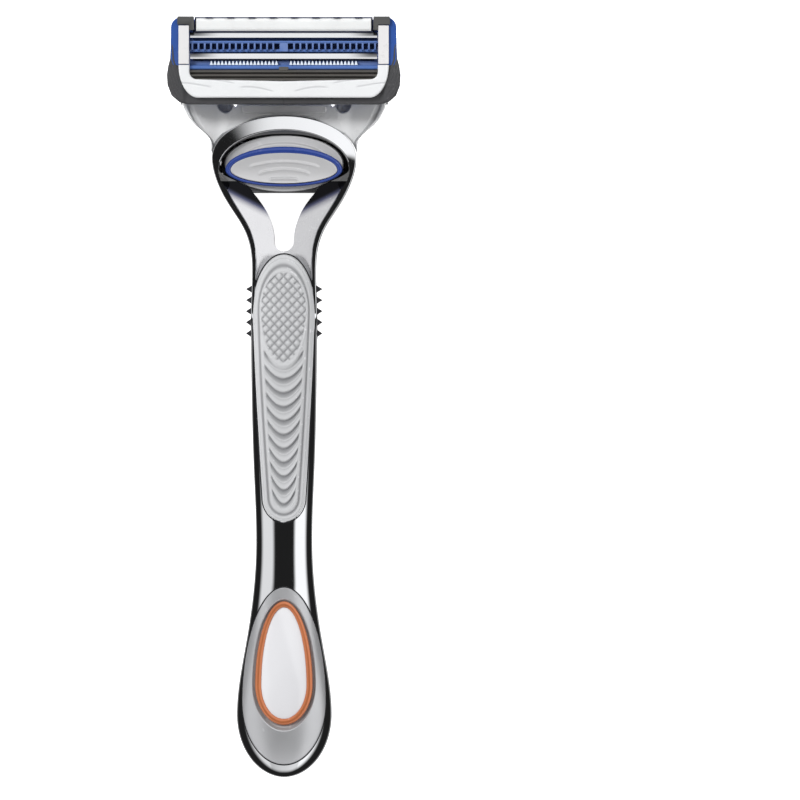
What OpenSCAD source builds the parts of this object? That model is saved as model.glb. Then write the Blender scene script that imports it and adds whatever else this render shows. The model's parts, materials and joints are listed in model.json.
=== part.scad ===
// Cartridge razor lying on its back, blades up.
// X is across the razor, Y runs from the butt to the head, Z is up from the table.
// Lengths along the razor are counted from the end of the butt; seat() then
// centres the whole razor on the origin.

/* [Overall] */
// Length from the butt to the top edge of the cartridge
overall_l = 137; // [136.5:0.5:138]
// Power of the rounded handle section: 2 is an ellipse, more is squarer
section_power = 2.6; // [2.2:0.1:3.2]
// The same power round the head ring, whose sides are nearly upright
ring_power = 8; // [6:1:10]

/* [Handle] */
// Full width of the butt
butt_w = 17.16; // [16.6:0.1:17.8]
// Full width at the narrowest place of the shaft
shaft_w = 10.3; // [10:0.1:10.8]
// Full width at the grip
grip_w = 11.9; // [11.7:0.1:12.3]
// Full width of the head ring
head_w = 26; // [25.6:0.1:26.2]
// Height of the front of the grip over the table
grip_z = 15; // [14:0.5:15.5]
// Height of the front of the head ring over the table
head_z = 10.6; // [10.4:0.1:11]

/* [Release button] */
// How far the button slides forward
button_travel = 1.8; // [1.2:0.1:1.8]

/* [Connector] */
// Gap between the head ring and the connector's hollow edge
connector_gap = 0.2; // [0.15:0.05:0.3]
// Radius of each pivot pin
pin_r = 1.05; // [0.9:0.05:1.1]
// Running clearance of each pivot pin in its bore
pin_clearance = 0.07; // [0.04:0.01:0.1]

/* [Cartridge] */
// Full width over the soft side wings
cartridge_w = 42; // [41.6:0.1:42.4]
// Height of the shaving face over the table
face_z = 14.3; // [14.1:0.1:14.5]
// Distance between the teeth of the lower comb
lower_pitch = 0.65; // [0.6:0.05:0.8]
// Distance between the rungs of the middle guard
guard_pitch = 1.1; // [1:0.1:1.4]

/* [Hidden] */

e = 0.01;          // a hair past a face, so that cuts leave no skin
far = 200;         // longer than anything that is cut
fit_gap = 0.15;    // between a fixed part and the pocket it sits in
move_gap = 0.3;    // between parts that pass each other

// Handle stations along Y
butt_mid_y = 11.3;
shaft_y = 39.3;
grip_y = 76;
waist_y = 91.5;
waist_w = 11.4;
ring_mid_y = 111.7;
ring_rise = 7.6;
ring_top_y = ring_mid_y + ring_rise;
land_dip = 0.3;    // the lands are cut flat this much above the round back
loft_sides = 28;

// Front and back heights of the handle: [station along Y, height]
front_stations = [
    [0, 11], [butt_mid_y, 11.2], [shaft_y, 10.6], [62, 13.2],
    [82, grip_z], [97, 11.4], [105, head_z], [ring_top_y, head_z]
];
back_stations = [
    [0, -land_dip], [17, -land_dip], [62, 3.6], [106, -land_dip], [ring_top_y, -land_dip]
];

// Pieces let into the handle
pad_top_y = 94.4;
pad_wide_y = 84;
pad_wide_half = 5.7;
pad_narrow_y = 50.5;
pad_narrow_half = 3.85;
pad_tip_y = 46;
pad_floor_z = 9.2;
plate_floor_z = 9.4;
ring_floor_z = 9.9;
badge_floor_z = 9.7;
rear_t = 1.6;
rib_count = 5;
rib_first_y = 80.1;
rib_pitch = 2;
rib_l = 1.1;
rib_tip_x = 6.9;
rib_z = [2.6, 8.6];
rib_root_x = 4.8;
rear_side_x = 4.4;
rear_side_y = [78.6, 89.6];
badge_z = 11.1;
badge_top_z = 11.5;
badge_wide_y = 16.8;

// Window between the neck arms
window_y = [94.9, 105.7];
window_slot_y = 97;
window_slot_half = 1.76;
window_top_half = 5.7;

// Mechanism in the head
wall = 1.4;
cavity_y = 105.4;
lip_z = 9.2;
opening_half = 11.8;
opening_y = 109.6;
opening_rise = 7.1;
cover_z = 2.4;
floor_z = [2.6, 3.4];
block_z = 7.4;
nose_half = 6.3;
nose_y = [117.4, 121.2];
nose_z = [3, 7.2];
nose_slot_y = 116.4;  // inside the cavity, so that the slot through the wall leaves no skin
prong_x = [3, 5];
prong_z = [4.2, 6];
carrier_z = [7.6, 8.9];
carrier_y = [105.6, 115.6];
carrier_half = 10.7;
spring_x = 7.6;
spring_foot_y = [107.6, 108.8];
spring_seat_y = 115.4;

// Plunger and springs
plunger_z = 5.6;
plunger_r = 1;
plunger_collar_r = 1.28;
plunger_y = [111.5, 123.3];
plunger_bore_r = 0.72;
plunger_bore_end_y = 118.5;
chamber_r = 1.35;
chamber_y = [108.4, 117.2];
coil_sides = 5;
coil_steps = 12;

// Connector
yoke_z = [1.8, 8];
arm_z = 7.4;
arm_x = [17.35, 18.8];
eye_r = 1.4;
pivot_y = 125.3;
pivot_z = 10.2;
pad_half = 7.65;
pad_y = [119.2, 121.7];
pad_z = 8.3;

// Cartridge frame and housing
bay_half = 16.95;
back_z = 9.4;
base_top_z = 11;
bay_floor_z = 12.6;
wall_x = 16.3;
wall_z = 12.7;
frame_floor_z = 12.2;
frame_half = 16.9;
front_y = 122.4;
front_end_y = 127.5;
top_y = overall_l - 0.1;
housing_y = [front_y, top_y - 0.3];
shell_half = 20.27;
shell_corner = 2.2;
shell_y = 128.35;   // where the side shells start, just past the bumper
shell_floor_z = 12;
end_wall_x = 19.6;
end_wall_y = [131, top_y - 0.6];
strip_bed_y = 134.75;
rung_half = 0.75;
rung_y = [131, 132.3];
lug_x = 14.6;
lug_r = 1.98;
lobe_half = 1.4;
lobe_r = 1.1;
lobe_y = 124.7;
lobe_z = 6.6;

// Flow slots through the cartridge's back: start, distance apart, length and the two rows
flow_x = 1.2;
flow_pitch = 3.9;
flow_l = 3.3;
flow_rows = [[128.2, 129.3], [131, 132.6]];

// Blades
blade_half = 16.8;
blade_l = 1;
blade_t = 0.1;
blade_tilt = 22;
blade_drop = 0.15;  // of the cutting edges below the shaving face
support_inset = 0.8;
leg_back = 0.55;   // from the cutting edge to the support's leg
leg_t = 0.3;
leg_gap = 0.1;
lower_edge_y = 129.4;
upper_edge_y = 133.2;

// Soft rim and bumper
rim_y = 121.3;
rim_half = 17.3;
rim_z = 13.6;
wing_z = 9.8;
wing_start_x = 18.4;
wing_end_y = 129.6;
wing_mid_y = 125.6;
wing_bulge = [2.6, 4];
pivot_arm_room_x = 19.1;
bumper_z = 14.9;
bumper_half = 18.9;
bumper_end_y = 128.3;
bumper_corner = [2.9, 3];
bumper_mid_y = 125.4;
bumper_inner_y = 125.5;
bumper_inner_corner = [1.3, 1.2];

// Fins, comb and guard
fin_half = 15.5;
fin_bed_y = [125.9, 127.5];
fin_bed_z = 13.5;
fin_y = [126.05, 126.6, 127.15];
fin_t = 0.25;
comb_y = [127.55, 128.15];
comb_z = 13.9;
comb_tooth_z = 13.2;
comb_tip_y = 129;
comb_teeth = [2:20];
guard_upper_y = [132.2, 132.6];
guard_lower_y = [130.75, 131.1];
guard_upper_z = 14;
guard_lower_z = 13.7;
guard_rung_z = [12.9, 13.8];
guard_rung_t = 0.35;
guard_rungs = [1:14];

// Clips, tray, strip and caps
clip_x = [17, 18.9];
clip_y = [bumper_end_y, 135.4];
tray_half = 16;
tray_y = [134.3, top_y - 0.1];
tray_wall = 0.15;
tray_floor_z = 13.3;
strip_half = 15.7;
strip_y = [134.5, 136.6];
strip_rise = 0.2;
cap_x = [16.1, 19.1];
cap_y = 135.5;
cap_leg_y = 134.5;

// Smooth step from 0 to 1 with level ends
function ease(t) = (1 - cos(180 * t)) / 2;
function between(a, b, t) = a + (b - a) * ease(t);
function along(st, y, i = 0) =
    i + 1 >= len(st) || y <= st[i][0] ? st[min(i, len(st) - 1)][1]
    : y <= st[i + 1][0]
        ? between(st[i][1], st[i + 1][1], (y - st[i][0]) / (st[i + 1][0] - st[i][0]))
        : along(st, y, i + 1);
function signed_power(v, p) = sign(v) * pow(abs(v), p);
function mirrored(pts) = concat(pts, [for (i = [len(pts) - 1:-1:0]) [-pts[i][0], pts[i][1]]]);

// How much of its full section the handle has at each end
function end_factor(y) = y < butt_mid_y ? sqrt(max(0, 1 - pow((butt_mid_y - y) / butt_mid_y, 2))) : 1;
function ring_factor(y) = sqrt(max(0, 1 - pow((y - ring_mid_y) / ring_rise, 2)));
width_stations = [
    [butt_mid_y, butt_w / 2], [shaft_y, shaft_w / 2], [grip_y, grip_w / 2],
    [waist_y, waist_w / 2], [ring_mid_y, head_w / 2]
];
function handle_half(y) =
    y > ring_mid_y ? head_w / 2 * ring_factor(y) : along(width_stations, y) * end_factor(y);
function handle_mid_z(y) = (along(front_stations, y) + along(back_stations, y)) / 2;
function handle_half_h(y) = (along(front_stations, y) - along(back_stations, y)) / 2 * sqrt(end_factor(y));
function power_at(y) = along([[waist_y, section_power], [106, ring_power]], y);
function handle_ring(y) = [
    for (i = [0:loft_sides - 1])
        let (a = 360 * i / loft_sides)
        [
            handle_half(y) * signed_power(cos(a), 2 / power_at(y)),
            y,
            handle_mid_z(y) + handle_half_h(y) * signed_power(sin(a), 2 / power_at(y))
        ]
];

// Outline of the head ring pulled in by d on every side, from y upwards
function head_outline(d, y) = mirrored(concat(
    [for (i = [0:8]) let (s = y + (ring_mid_y - y) * i / 8) [handle_half(s) - d, s]],
    [
        for (i = [1:14])
            let (a = 90 * i / 14)
            [(head_w / 2 - d) * cos(a), ring_mid_y + (ring_rise - d) * sin(a)]
    ]
));
function egg(half, y0, wide_y, y1, n = 14) = mirrored(concat(
    [for (i = [0:n]) let (a = 90 * i / n) [half * sin(a), wide_y - (wide_y - y0) * cos(a)]],
    [for (i = [1:n]) let (a = 90 * i / n) [half * cos(a), wide_y + (y1 - wide_y) * sin(a)]]
));

module seat() {
    translate([0, -overall_l / 2, 0]) children();
}

module both_sides() {
    children();
    mirror([1, 0, 0]) children();
}

// A box given by its lowest and highest corners
module block(x, y, z) {
    translate([x[0], y[0], z[0]]) cube([x[1] - x[0], y[1] - y[0], z[1] - z[0]]);
}

// An upright prism on an outline
module prism(outline, z) {
    translate([0, 0, z[0]]) linear_extrude(z[1] - z[0]) polygon(outline);
}

// A round bar along Y
module bar_y(r, y, x = 0, z = 0) {
    translate([x, y[0], z]) rotate([-90, 0, 0]) cylinder(r = r, h = y[1] - y[0]);
}

// A round bar along X
module bar_x(r, x, y, z) {
    translate([x[0], y, z]) rotate([0, 90, 0]) cylinder(r = r, h = x[1] - x[0]);
}

// Closed skin over rings of equal length
module skin(rings) {
    n = len(rings[0]);
    last = len(rings) - 1;
    polyhedron(
        points = [for (r = rings) each r],
        faces = concat(
            [[for (i = [n - 1:-1:0]) i]],
            [[for (i = [0:n - 1]) last * n + i]],
            [
                for (k = [0:last - 1], i = [0:n - 1])
                    let (a = k * n + i, b = k * n + (i + 1) % n)
                    each [[a, b, b + n], [a, b + n, a + n]]
            ]
        )
    );
}

// Compression coil along Y
module coil(x, z, y, coil_r, wire_r, turns) {
    steps = turns * coil_steps;
    skin([
        for (k = [0:steps])
            let (
                a = 360 * k / coil_steps,
                rise = (y[1] - y[0] - 2 * wire_r) * k / steps,
                c = [x + coil_r * cos(a), y[0] + wire_r + rise, z + coil_r * sin(a)]
            )
            [
                for (i = [0:coil_sides - 1])
                    let (b = -360 * i / coil_sides)
                    c + wire_r * [cos(b) * cos(a), sin(b), cos(b) * sin(a)]
            ]
    ]);
}

// The whole handle as one rounded body, before anything is let into it
module handle_body() {
    stations = concat(
        [for (i = [0:8]) butt_mid_y * (1 - cos(4 + 86 * i / 8))],
        [for (i = [1:7]) butt_mid_y + (shaft_y - butt_mid_y) * i / 7],
        [for (i = [1:12]) shaft_y + (waist_y - shaft_y) * i / 12],
        [for (i = [1:10]) waist_y + (ring_mid_y - waist_y) * i / 10],
        [for (i = [1:9]) ring_mid_y + ring_rise * sin(86 * i / 9)]
    );
    difference() {
        skin([for (y = stations) handle_ring(y)]);
        block([-far, far], [-far, far], [-far, 0]);
    }
}

function pad_half_at(y) =
    let (t = (y - pad_narrow_y) / (pad_wide_y - pad_narrow_y))
    pad_narrow_half + (pad_wide_half - pad_narrow_half) * (t + sin(90 * t)) / 2;

function pad_outline(d = 0) = mirrored(concat(
    [
        for (i = [0:8])
            let (a = 90 * i / 8)
            [(pad_narrow_half - d) * sin(a), pad_narrow_y - (pad_narrow_y - pad_tip_y - d) * cos(a)]
    ],
    [for (i = [1:10]) let (y = pad_narrow_y + (pad_wide_y - pad_narrow_y) * i / 10) [pad_half_at(y) - d, y]],
    [
        for (i = [1:12])
            let (a = 90 * i / 12)
            [(pad_wide_half - d) * cos(a), pad_wide_y + (pad_top_y - pad_wide_y - d) * sin(a)]
    ]
));

module pad_cut() {
    prism(pad_outline(), [pad_floor_z, far]);
}

module plate_cut() {
    prism(egg(7.56, 2.34, 13.7, 34.4), [plate_floor_z, far]);
}

// The rear grip: a long oval that follows the back and a strip up each side
module rear_cut() {
    intersection() {
        prism(egg(4.6, 50, 76, 93), [-far, far]);
        translate([-10, 0, 0]) rotate([90, 0, 90]) linear_extrude(20) polygon(concat(
            [[48, -5]],
            [[95, -5]],
            [for (y = [95:-3:48]) [y, along(back_stations, y) + rear_t]]
        ));
    }
    both_sides() block([rear_side_x, far], rear_side_y, [-far, rib_z[1]]);
}

function window_half(y) =
    y < window_slot_y ? window_slot_half
    : window_slot_half
        + (window_top_half - window_slot_half) * pow((y - window_slot_y) / (window_y[1] - window_slot_y), 2);

module window_cut() {
    prism(
        mirrored(concat(
            [
                for (i = [0:6])
                    let (a = 90 * i / 6)
                    [window_slot_half * sin(a), window_y[0] + window_slot_half * (1 - cos(a))]
            ],
            [
                for (i = [0:10])
                    let (y = window_slot_y + (window_y[1] - window_slot_y) * i / 10)
                    [window_half(y), y]
            ]
        )),
        [-far, far]
    );
}

// Room for the mechanism, open at the back, and the opening over the button
module head_cut() {
    prism(head_outline(wall, cavity_y), [-far, lip_z]);
    intersection() {
        prism(
            egg(opening_half, opening_y - opening_rise, opening_y, opening_y + opening_rise),
            [lip_z - e, far]
        );
        block([-far, far], [cavity_y, far], [0, far]);
    }
    block(
        [-nose_half - fit_gap, nose_half + fit_gap],
        [nose_slot_y, far],
        [nose_z[0] - fit_gap, nose_z[1] + fit_gap]
    );
}

module handle_frame() {
    color("silver") seat() difference() {
        handle_body();
        pad_cut();
        plate_cut();
        rear_cut();
        window_cut();
        head_cut();
    }
}

module front_grip() {
    color("gainsboro") seat() difference() {
        intersection() {
            handle_body();
            pad_cut();
        }
        window_cut();
    }
}

module rear_grip() {
    color("dimgray") seat() {
        intersection() {
            handle_body();
            rear_cut();
        }
        both_sides()
            for (i = [0:rib_count - 1])
                let (y = rib_first_y + rib_pitch * i)
                prism([[rib_root_x, y - rib_l / 2], [rib_tip_x, y], [rib_root_x, y + rib_l / 2]], rib_z);
    }
}

module badge_outline_cut(half, y0, y1, z) {
    prism(egg(half, y0, badge_wide_y, y1), z);
}

module butt_plate() {
    color("lightgray") seat() difference() {
        intersection() {
            handle_body();
            plate_cut();
        }
        badge_outline_cut(5.3, 9.2, 32, [badge_floor_z, far]);
    }
}

module badge_ring() {
    color("orange") seat() difference() {
        badge_outline_cut(5.15, 9.4, 31.8, [badge_floor_z, badge_z]);
        badge_outline_cut(4.3, 10.4, 31, [ring_floor_z, far]);
    }
}

module badge() {
    color("white") seat() {
        badge_outline_cut(4.15, 10.6, 30.8, [ring_floor_z, badge_z]);
        badge_outline_cut(3.4, 11.8, 29.4, [badge_z, badge_top_z]);
    }
}

module rear_cover() {
    color("dimgray") seat() intersection() {
        handle_body();
        prism(head_outline(wall + fit_gap, cavity_y + fit_gap), [-far, cover_z]);
    }
}

module docking_housing() {
    color("darkslategray") seat() difference() {
        union() {
            prism(head_outline(wall + fit_gap, cavity_y + fit_gap), floor_z);
            intersection() {
                prism(head_outline(wall + fit_gap, cavity_y + fit_gap), [floor_z[0], block_z]);
                union() {
                    block([-6.9, 6.9], [105.6, 106.6], [floor_z[0], block_z]);
                    block([-2.6, 2.6], [107, nose_y[1]], [floor_z[0], block_z]);
                    block([-9.4, 9.4], [spring_seat_y, nose_y[1]], [floor_z[0], nose_z[1]]);
                }
            }
            block([-nose_half, nose_half], nose_y, nose_z);
        }
        bar_y(chamber_r, chamber_y, z = plunger_z);
        bar_y(plunger_r + 0.06, [chamber_y[1] - e, nose_y[1] + 1], z = plunger_z);
        both_sides()
            block(
                [prong_x[0] - fit_gap, prong_x[1] + fit_gap],
                [115, far],
                [prong_z[0] - fit_gap, prong_z[1] + fit_gap]
            );
    }
}

module plunger() {
    color("whitesmoke") seat() difference() {
        union() {
            bar_y(plunger_r, plunger_y, z = plunger_z);
            bar_y(plunger_collar_r, [plunger_y[0], 113], z = plunger_z);
            bar_y(plunger_collar_r, [115.6, 116.6], z = plunger_z);
        }
        bar_y(plunger_bore_r, [plunger_y[0] - 1, plunger_bore_end_y], z = plunger_z);
    }
}

module plunger_spring() {
    color("slategray") seat() coil(0, plunger_z, [chamber_y[0], 115.9], 0.5, 0.1, 14);
}

module button_springs() {
    color("slategray") seat() both_sides()
        coil(spring_x, plunger_z, [spring_foot_y[1] + button_travel + 0.4, spring_seat_y], 0.7, 0.12, 8);
}

module button_carrier() {
    color("lightsteelblue") seat() {
        prism(egg(carrier_half, carrier_y[0], 110.7, carrier_y[1]), carrier_z);
        both_sides() {
            block(prong_x, [108, 110.5], [prong_z[0], carrier_z[0]]);
            block(prong_x, [110.5, nose_y[1] - 0.2 - button_travel], prong_z);
            block([spring_x - 0.9, spring_x + 0.9], spring_foot_y, [4.8, carrier_z[0]]);
        }
    }
}

module button_ring() {
    color("royalblue") seat() difference() {
        prism(egg(10.6, 106.4, 109.5, 113.7), [carrier_z[1], 10.1]);
        prism(egg(9.6, 107, 109.5, 112.5), [carrier_z[1] - e, far]);
    }
}

module button_cap() {
    color("silver") seat() {
        prism(egg(9.5, 107.1, 109.5, 112.4), [carrier_z[1], 10.2]);
        for (bar = [[6.5, 110.4], [4.75, 108.9], [2.7, 107.9]])
            block([-bar[0], bar[0]], [bar[1] - 0.3, bar[1] + 0.3], [10.2, 10.6]);
    }
}

// Outer edge of the connector's arm, from its tip to the eye
arm_edge = [
    [13.2, 112.9], [13.3, 115.5], [14.6, 117], [16.4, 118], [17.6, 119.4], [18.2, 121], [18.8, 123.9]
];

module yoke() {
    color("lightgray") seat() difference() {
        union() {
            prism(mirrored(concat([[0, 112.9]], arm_edge, [[18.8, 124.3], [0, 124.3]])), [yoke_z[0], arm_z]);
            block([-pad_half - 0.6, pad_half + 0.6], [pad_y[0], 124.3], [arm_z - e, yoke_z[1]]);
            block([-pad_half, pad_half], pad_y, [yoke_z[1], pad_z]);
            both_sides() {
                block(arm_x, [pivot_y - eye_r, pivot_y + eye_r], [3.4, pivot_z]);
                bar_x(eye_r, arm_x, pivot_y, pivot_z);
                bar_x(pin_r, [lug_x + 0.1, arm_x[0] + e], pivot_y, pivot_z);
            }
        }
        // the hollow edge that fits the head ring
        prism(head_outline(-connector_gap, 100), [-far, far]);
        // socket for the nose, and the way for the plunger and the cam
        block(
            [-nose_half - fit_gap, nose_half + fit_gap],
            [ring_mid_y, nose_y[1] + move_gap],
            [nose_z[0] - fit_gap, nose_z[1] + fit_gap]
        );
        block([-lobe_half - 0.5, lobe_half + 0.5], [nose_y[1], far], [4, far]);
        // notches and eyelets beside the pad
        both_sides() {
            prism([[8.5, 122.2], [9.9, 121.9], [8.7, 120.3]], [-far, far]);
            translate([11.6, 121, 0]) prism(egg(1.5, -1, 0, 1), [5.4, far]);
        }
    }
}

// Blade bay, side shells, pivot lugs and the cam the plunger pushes on
module cartridge_housing() {
    color("mediumblue") seat() difference() {
        union() {
            block([-bay_half, bay_half], housing_y, [back_z, base_top_z]);
            both_sides() {
                block([wall_x, bay_half], housing_y, [base_top_z - e, frame_floor_z]);
                block([wall_x, bay_half], [shell_y, housing_y[1]], [frame_floor_z - e, wall_z]);
                bar_x(lug_r, [lug_x, bay_half], pivot_y, pivot_z);
                side_shell();
            }
            block([-tray_half, tray_half], [strip_bed_y, housing_y[1]], [base_top_z - e, bay_floor_z]);
            block([-bay_half, bay_half], [front_y, front_end_y], [base_top_z - e, frame_floor_z]);
            block([-rung_half, rung_half], rung_y, [base_top_z - e, bay_floor_z]);
            cam_lobe();
        }
        both_sides() {
            bar_x(pin_r + pin_clearance, [lug_x - 1, far], pivot_y, pivot_z);
            for (x = [flow_x:flow_pitch:13], row = flow_rows)
                block([x, x + flow_l], row, [back_z - 1, base_top_z + 1]);
        }
        for (y = [lower_edge_y, upper_edge_y])
            block(
                [support_inset / 2 - blade_half, blade_half - support_inset / 2],
                leg_y(y) + [-leg_gap, leg_gap],
                [base_top_z - 1, far]
            );
    }
}

module side_shell() {
    prism(
        concat(
            [[bay_half - e, shell_y], [shell_half, shell_y]],
            [
                for (i = [0:6])
                    let (a = 15 * i)
                    [shell_half - shell_corner * (1 - cos(a)), top_y - shell_corner * (1 - sin(a))]
            ],
            [[bay_half - e, top_y]]
        ),
        [shell_floor_z, face_z - 0.1]
    );
    block([bay_half - e, end_wall_x], end_wall_y, [back_z, shell_floor_z + e]);
}

module cam_lobe() {
    hull() {
        bar_x_smooth(lobe_y, lobe_z);
        bar_x_smooth(pivot_y - 0.2, back_z + 0.6);
    }
}

module bar_x_smooth(y, z) {
    translate([-lobe_half, y, z]) rotate([0, 90, 0]) cylinder(r = lobe_r, h = 2 * lobe_half, $fn = 32);
}

// Charcoal elastomer: a strip under the bumper and a bulging wing each side
module soft_rim() {
    color("darkslategray") seat() {
        block([-rim_half, rim_half], [rim_y, front_y], [back_z, rim_z]);
        both_sides() difference() {
            prism(
                concat(
                    [[bay_half + e, rim_y], [wing_start_x, rim_y]],
                    [
                        for (i = [0:8])
                            let (a = -75 + 165 * i / 8)
                            [
                                cartridge_w / 2 - wing_bulge[0] * (1 - cos(a)),
                                wing_mid_y + wing_bulge[1] * sin(a)
                            ]
                    ],
                    [[bay_half + e, wing_end_y]]
                ),
                [wing_z, face_z]
            );
            // room for the pivot arm, the side shell and the bumper
            block([0, pivot_arm_room_x], [0, far], [0, shell_floor_z]);
            block([0, shell_half + 0.13], [shell_y - 0.1, far], [0, far]);
            prism(bumper_outline, [frame_floor_z, far]);
        }
    }
}

// Outer edge of the white bumper
bumper_outline = mirrored(concat(
    [
        for (i = [0:8])
            let (a = 90 * i / 8)
            [bumper_half - bumper_corner[0] * (1 - sin(a)), bumper_mid_y - bumper_corner[1] * cos(a)]
    ],
    [[bumper_half, bumper_end_y]]
));

module front_bumper() {
    color("white") seat() difference() {
        prism(bumper_outline, [frame_floor_z, bumper_z]);
        prism(
            mirrored(concat(
                [[0, bumper_inner_y]],
                [
                    for (i = [0:6])
                        let (a = 90 * i / 6)
                        [
                            frame_half - bumper_inner_corner[0] * (1 - sin(a)),
                            bumper_inner_y + 0.2 + bumper_inner_corner[1] * (1 - cos(a))
                        ]
                ],
                [[frame_half, bumper_end_y + 1]]
            )),
            [0, far]
        );
    }
}

module rubber_fins() {
    color("darkslategray") seat() {
        block([-fin_half, fin_half], fin_bed_y, [frame_floor_z + e, fin_bed_z]);
        for (y = fin_y)
            block([-fin_half, fin_half], [y, y + fin_t], [fin_bed_z - e, face_z]);
    }
}

module lower_comb() {
    color("cornflowerblue") seat() {
        block([-frame_half, frame_half], comb_y, [frame_floor_z + e, comb_z]);
        for (i = comb_teeth)
            both_sides()
                block(
                    [lower_pitch * i, lower_pitch * (i + 0.5)],
                    [comb_y[1] - e, comb_tip_y],
                    [comb_tooth_z, comb_z]
                );
    }
}

module middle_guard() {
    color("royalblue") seat() {
        block([-frame_half, frame_half], guard_upper_y, [wall_z, guard_upper_z]);
        block([-frame_half, frame_half], guard_lower_y, [wall_z, guard_lower_z]);
        block([-rung_half, rung_half], [guard_lower_y[1] - e, guard_upper_y[0] + e], [wall_z, guard_upper_z]);
        for (i = guard_rungs)
            both_sides()
                block(
                    [guard_pitch * i, guard_pitch * i + guard_rung_t],
                    [guard_lower_y[1] - e, guard_upper_y[0] + e],
                    guard_rung_z
                );
    }
}

// The support's leg hangs behind the cutting edge
function leg_y(edge_y) = [edge_y + leg_back, edge_y + leg_back + leg_t];

module blade_at(edge_y) {
    translate([0, edge_y, face_z - blade_drop]) rotate([-blade_tilt, 0, 0])
        translate([-blade_half, 0, -blade_t]) cube([2 * blade_half, blade_l, blade_t]);
}

// A point of the blade's own slanting section, from its cutting edge
function slanted(along_blade, up) = [
    along_blade * cos(blade_tilt) + up * sin(blade_tilt),
    up * cos(blade_tilt) - along_blade * sin(blade_tilt)
];

// Bent strip: a slanting shelf under the blade and a leg down into the housing
module support_at(edge_y) {
    half = blade_half - support_inset;
    foot = base_top_z - 0.6 - (face_z - blade_drop);
    translate([-half, edge_y, face_z - blade_drop]) rotate([90, 0, 90]) linear_extrude(2 * half) polygon([
        slanted(0.4, -blade_t),
        slanted(0.85, -blade_t),
        [leg_back + leg_t, -0.55],
        [leg_back + leg_t, foot],
        [leg_back, foot],
        [leg_back, -0.65],
        slanted(0.4, -blade_t - 0.25)
    ]);
}

module lower_blade() {
    color("lightsteelblue") seat() blade_at(lower_edge_y);
}

module lower_blade_support() {
    color("slategray") seat() support_at(lower_edge_y);
}

module upper_blade() {
    color("lightsteelblue") seat() blade_at(upper_edge_y);
}

module upper_blade_support() {
    color("slategray") seat() support_at(upper_edge_y);
}

// One clip at each end of the blades
module blade_clips() {
    color("whitesmoke") seat() both_sides() block(clip_x, clip_y, [face_z, bumper_z]);
}

module strip_tray() {
    color("midnightblue") seat() difference() {
        block([-tray_half, tray_half], tray_y, [bay_floor_z, face_z - 0.2]);
        block([-tray_half + 0.25, tray_half - 0.25], tray_y + [tray_wall, -tray_wall], [tray_floor_z, far]);
    }
}

module lubricating_strip() {
    color("white") seat() block([-strip_half, strip_half], strip_y, [tray_floor_z, face_z + strip_rise]);
}

module corner_caps() {
    color("gray") seat() both_sides() {
        block(cap_x, [cap_y, overall_l], [face_z - 0.1, bumper_z]);
        block([cap_x[0], bay_half], [cap_leg_y, cap_y + e], [face_z - 0.1, bumper_z - 0.2]);
    }
}

handle_frame();
front_grip();
rear_grip();
butt_plate();
badge_ring();
badge();
docking_housing();
rear_cover();
plunger();
plunger_spring();
button_springs();
button_carrier();
button_ring();
button_cap();
yoke();
cartridge_housing();
soft_rim();
front_bumper();
rubber_fins();
lower_comb();
middle_guard();
lower_blade();
lower_blade_support();
upper_blade();
upper_blade_support();
blade_clips();
strip_tray();
lubricating_strip();
corner_caps();
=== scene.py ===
# Cartridge razor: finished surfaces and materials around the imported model.
# Shapes are worked out in millimetres, with Y counted from the end of the butt,
# and makePiece puts them into the model's own frame in metres.
import json

import bpy
import bmesh
import numpy as np
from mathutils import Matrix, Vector


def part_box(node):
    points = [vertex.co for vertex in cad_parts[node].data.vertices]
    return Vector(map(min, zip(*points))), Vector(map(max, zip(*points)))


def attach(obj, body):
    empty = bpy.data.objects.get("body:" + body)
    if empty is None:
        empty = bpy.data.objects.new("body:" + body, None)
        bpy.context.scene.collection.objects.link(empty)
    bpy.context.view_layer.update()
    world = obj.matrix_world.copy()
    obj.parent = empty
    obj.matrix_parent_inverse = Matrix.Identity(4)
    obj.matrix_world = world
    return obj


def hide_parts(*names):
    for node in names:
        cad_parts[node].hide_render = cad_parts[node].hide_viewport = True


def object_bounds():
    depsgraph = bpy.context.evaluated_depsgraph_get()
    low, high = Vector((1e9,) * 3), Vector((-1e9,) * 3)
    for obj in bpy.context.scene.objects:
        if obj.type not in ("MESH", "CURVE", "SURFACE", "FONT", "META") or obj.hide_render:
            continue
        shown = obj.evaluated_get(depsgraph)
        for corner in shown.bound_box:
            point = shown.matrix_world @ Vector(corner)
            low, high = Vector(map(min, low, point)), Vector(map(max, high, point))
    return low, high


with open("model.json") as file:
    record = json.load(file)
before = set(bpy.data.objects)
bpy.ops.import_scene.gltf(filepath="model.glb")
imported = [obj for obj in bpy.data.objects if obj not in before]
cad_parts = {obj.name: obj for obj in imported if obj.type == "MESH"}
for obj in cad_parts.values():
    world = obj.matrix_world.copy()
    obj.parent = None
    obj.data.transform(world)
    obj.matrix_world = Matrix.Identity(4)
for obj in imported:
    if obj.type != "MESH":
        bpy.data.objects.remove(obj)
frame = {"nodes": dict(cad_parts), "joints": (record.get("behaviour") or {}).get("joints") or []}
cadBox = [[float(v) for v in corner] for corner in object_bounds()]
mm = 0.001
buttY = cadBox[0][1]
print("frame loaded:", len(frame["nodes"]), "nodes")


def boxOf(node):
    # lowest and highest corner of a CAD node, in mm from the butt's end
    low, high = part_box(node)
    shift = np.array([0.0, buttY, 0.0])
    return (np.array(low) - shift) / mm, (np.array(high) - shift) / mm


# ---- curves and grids ----


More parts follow.
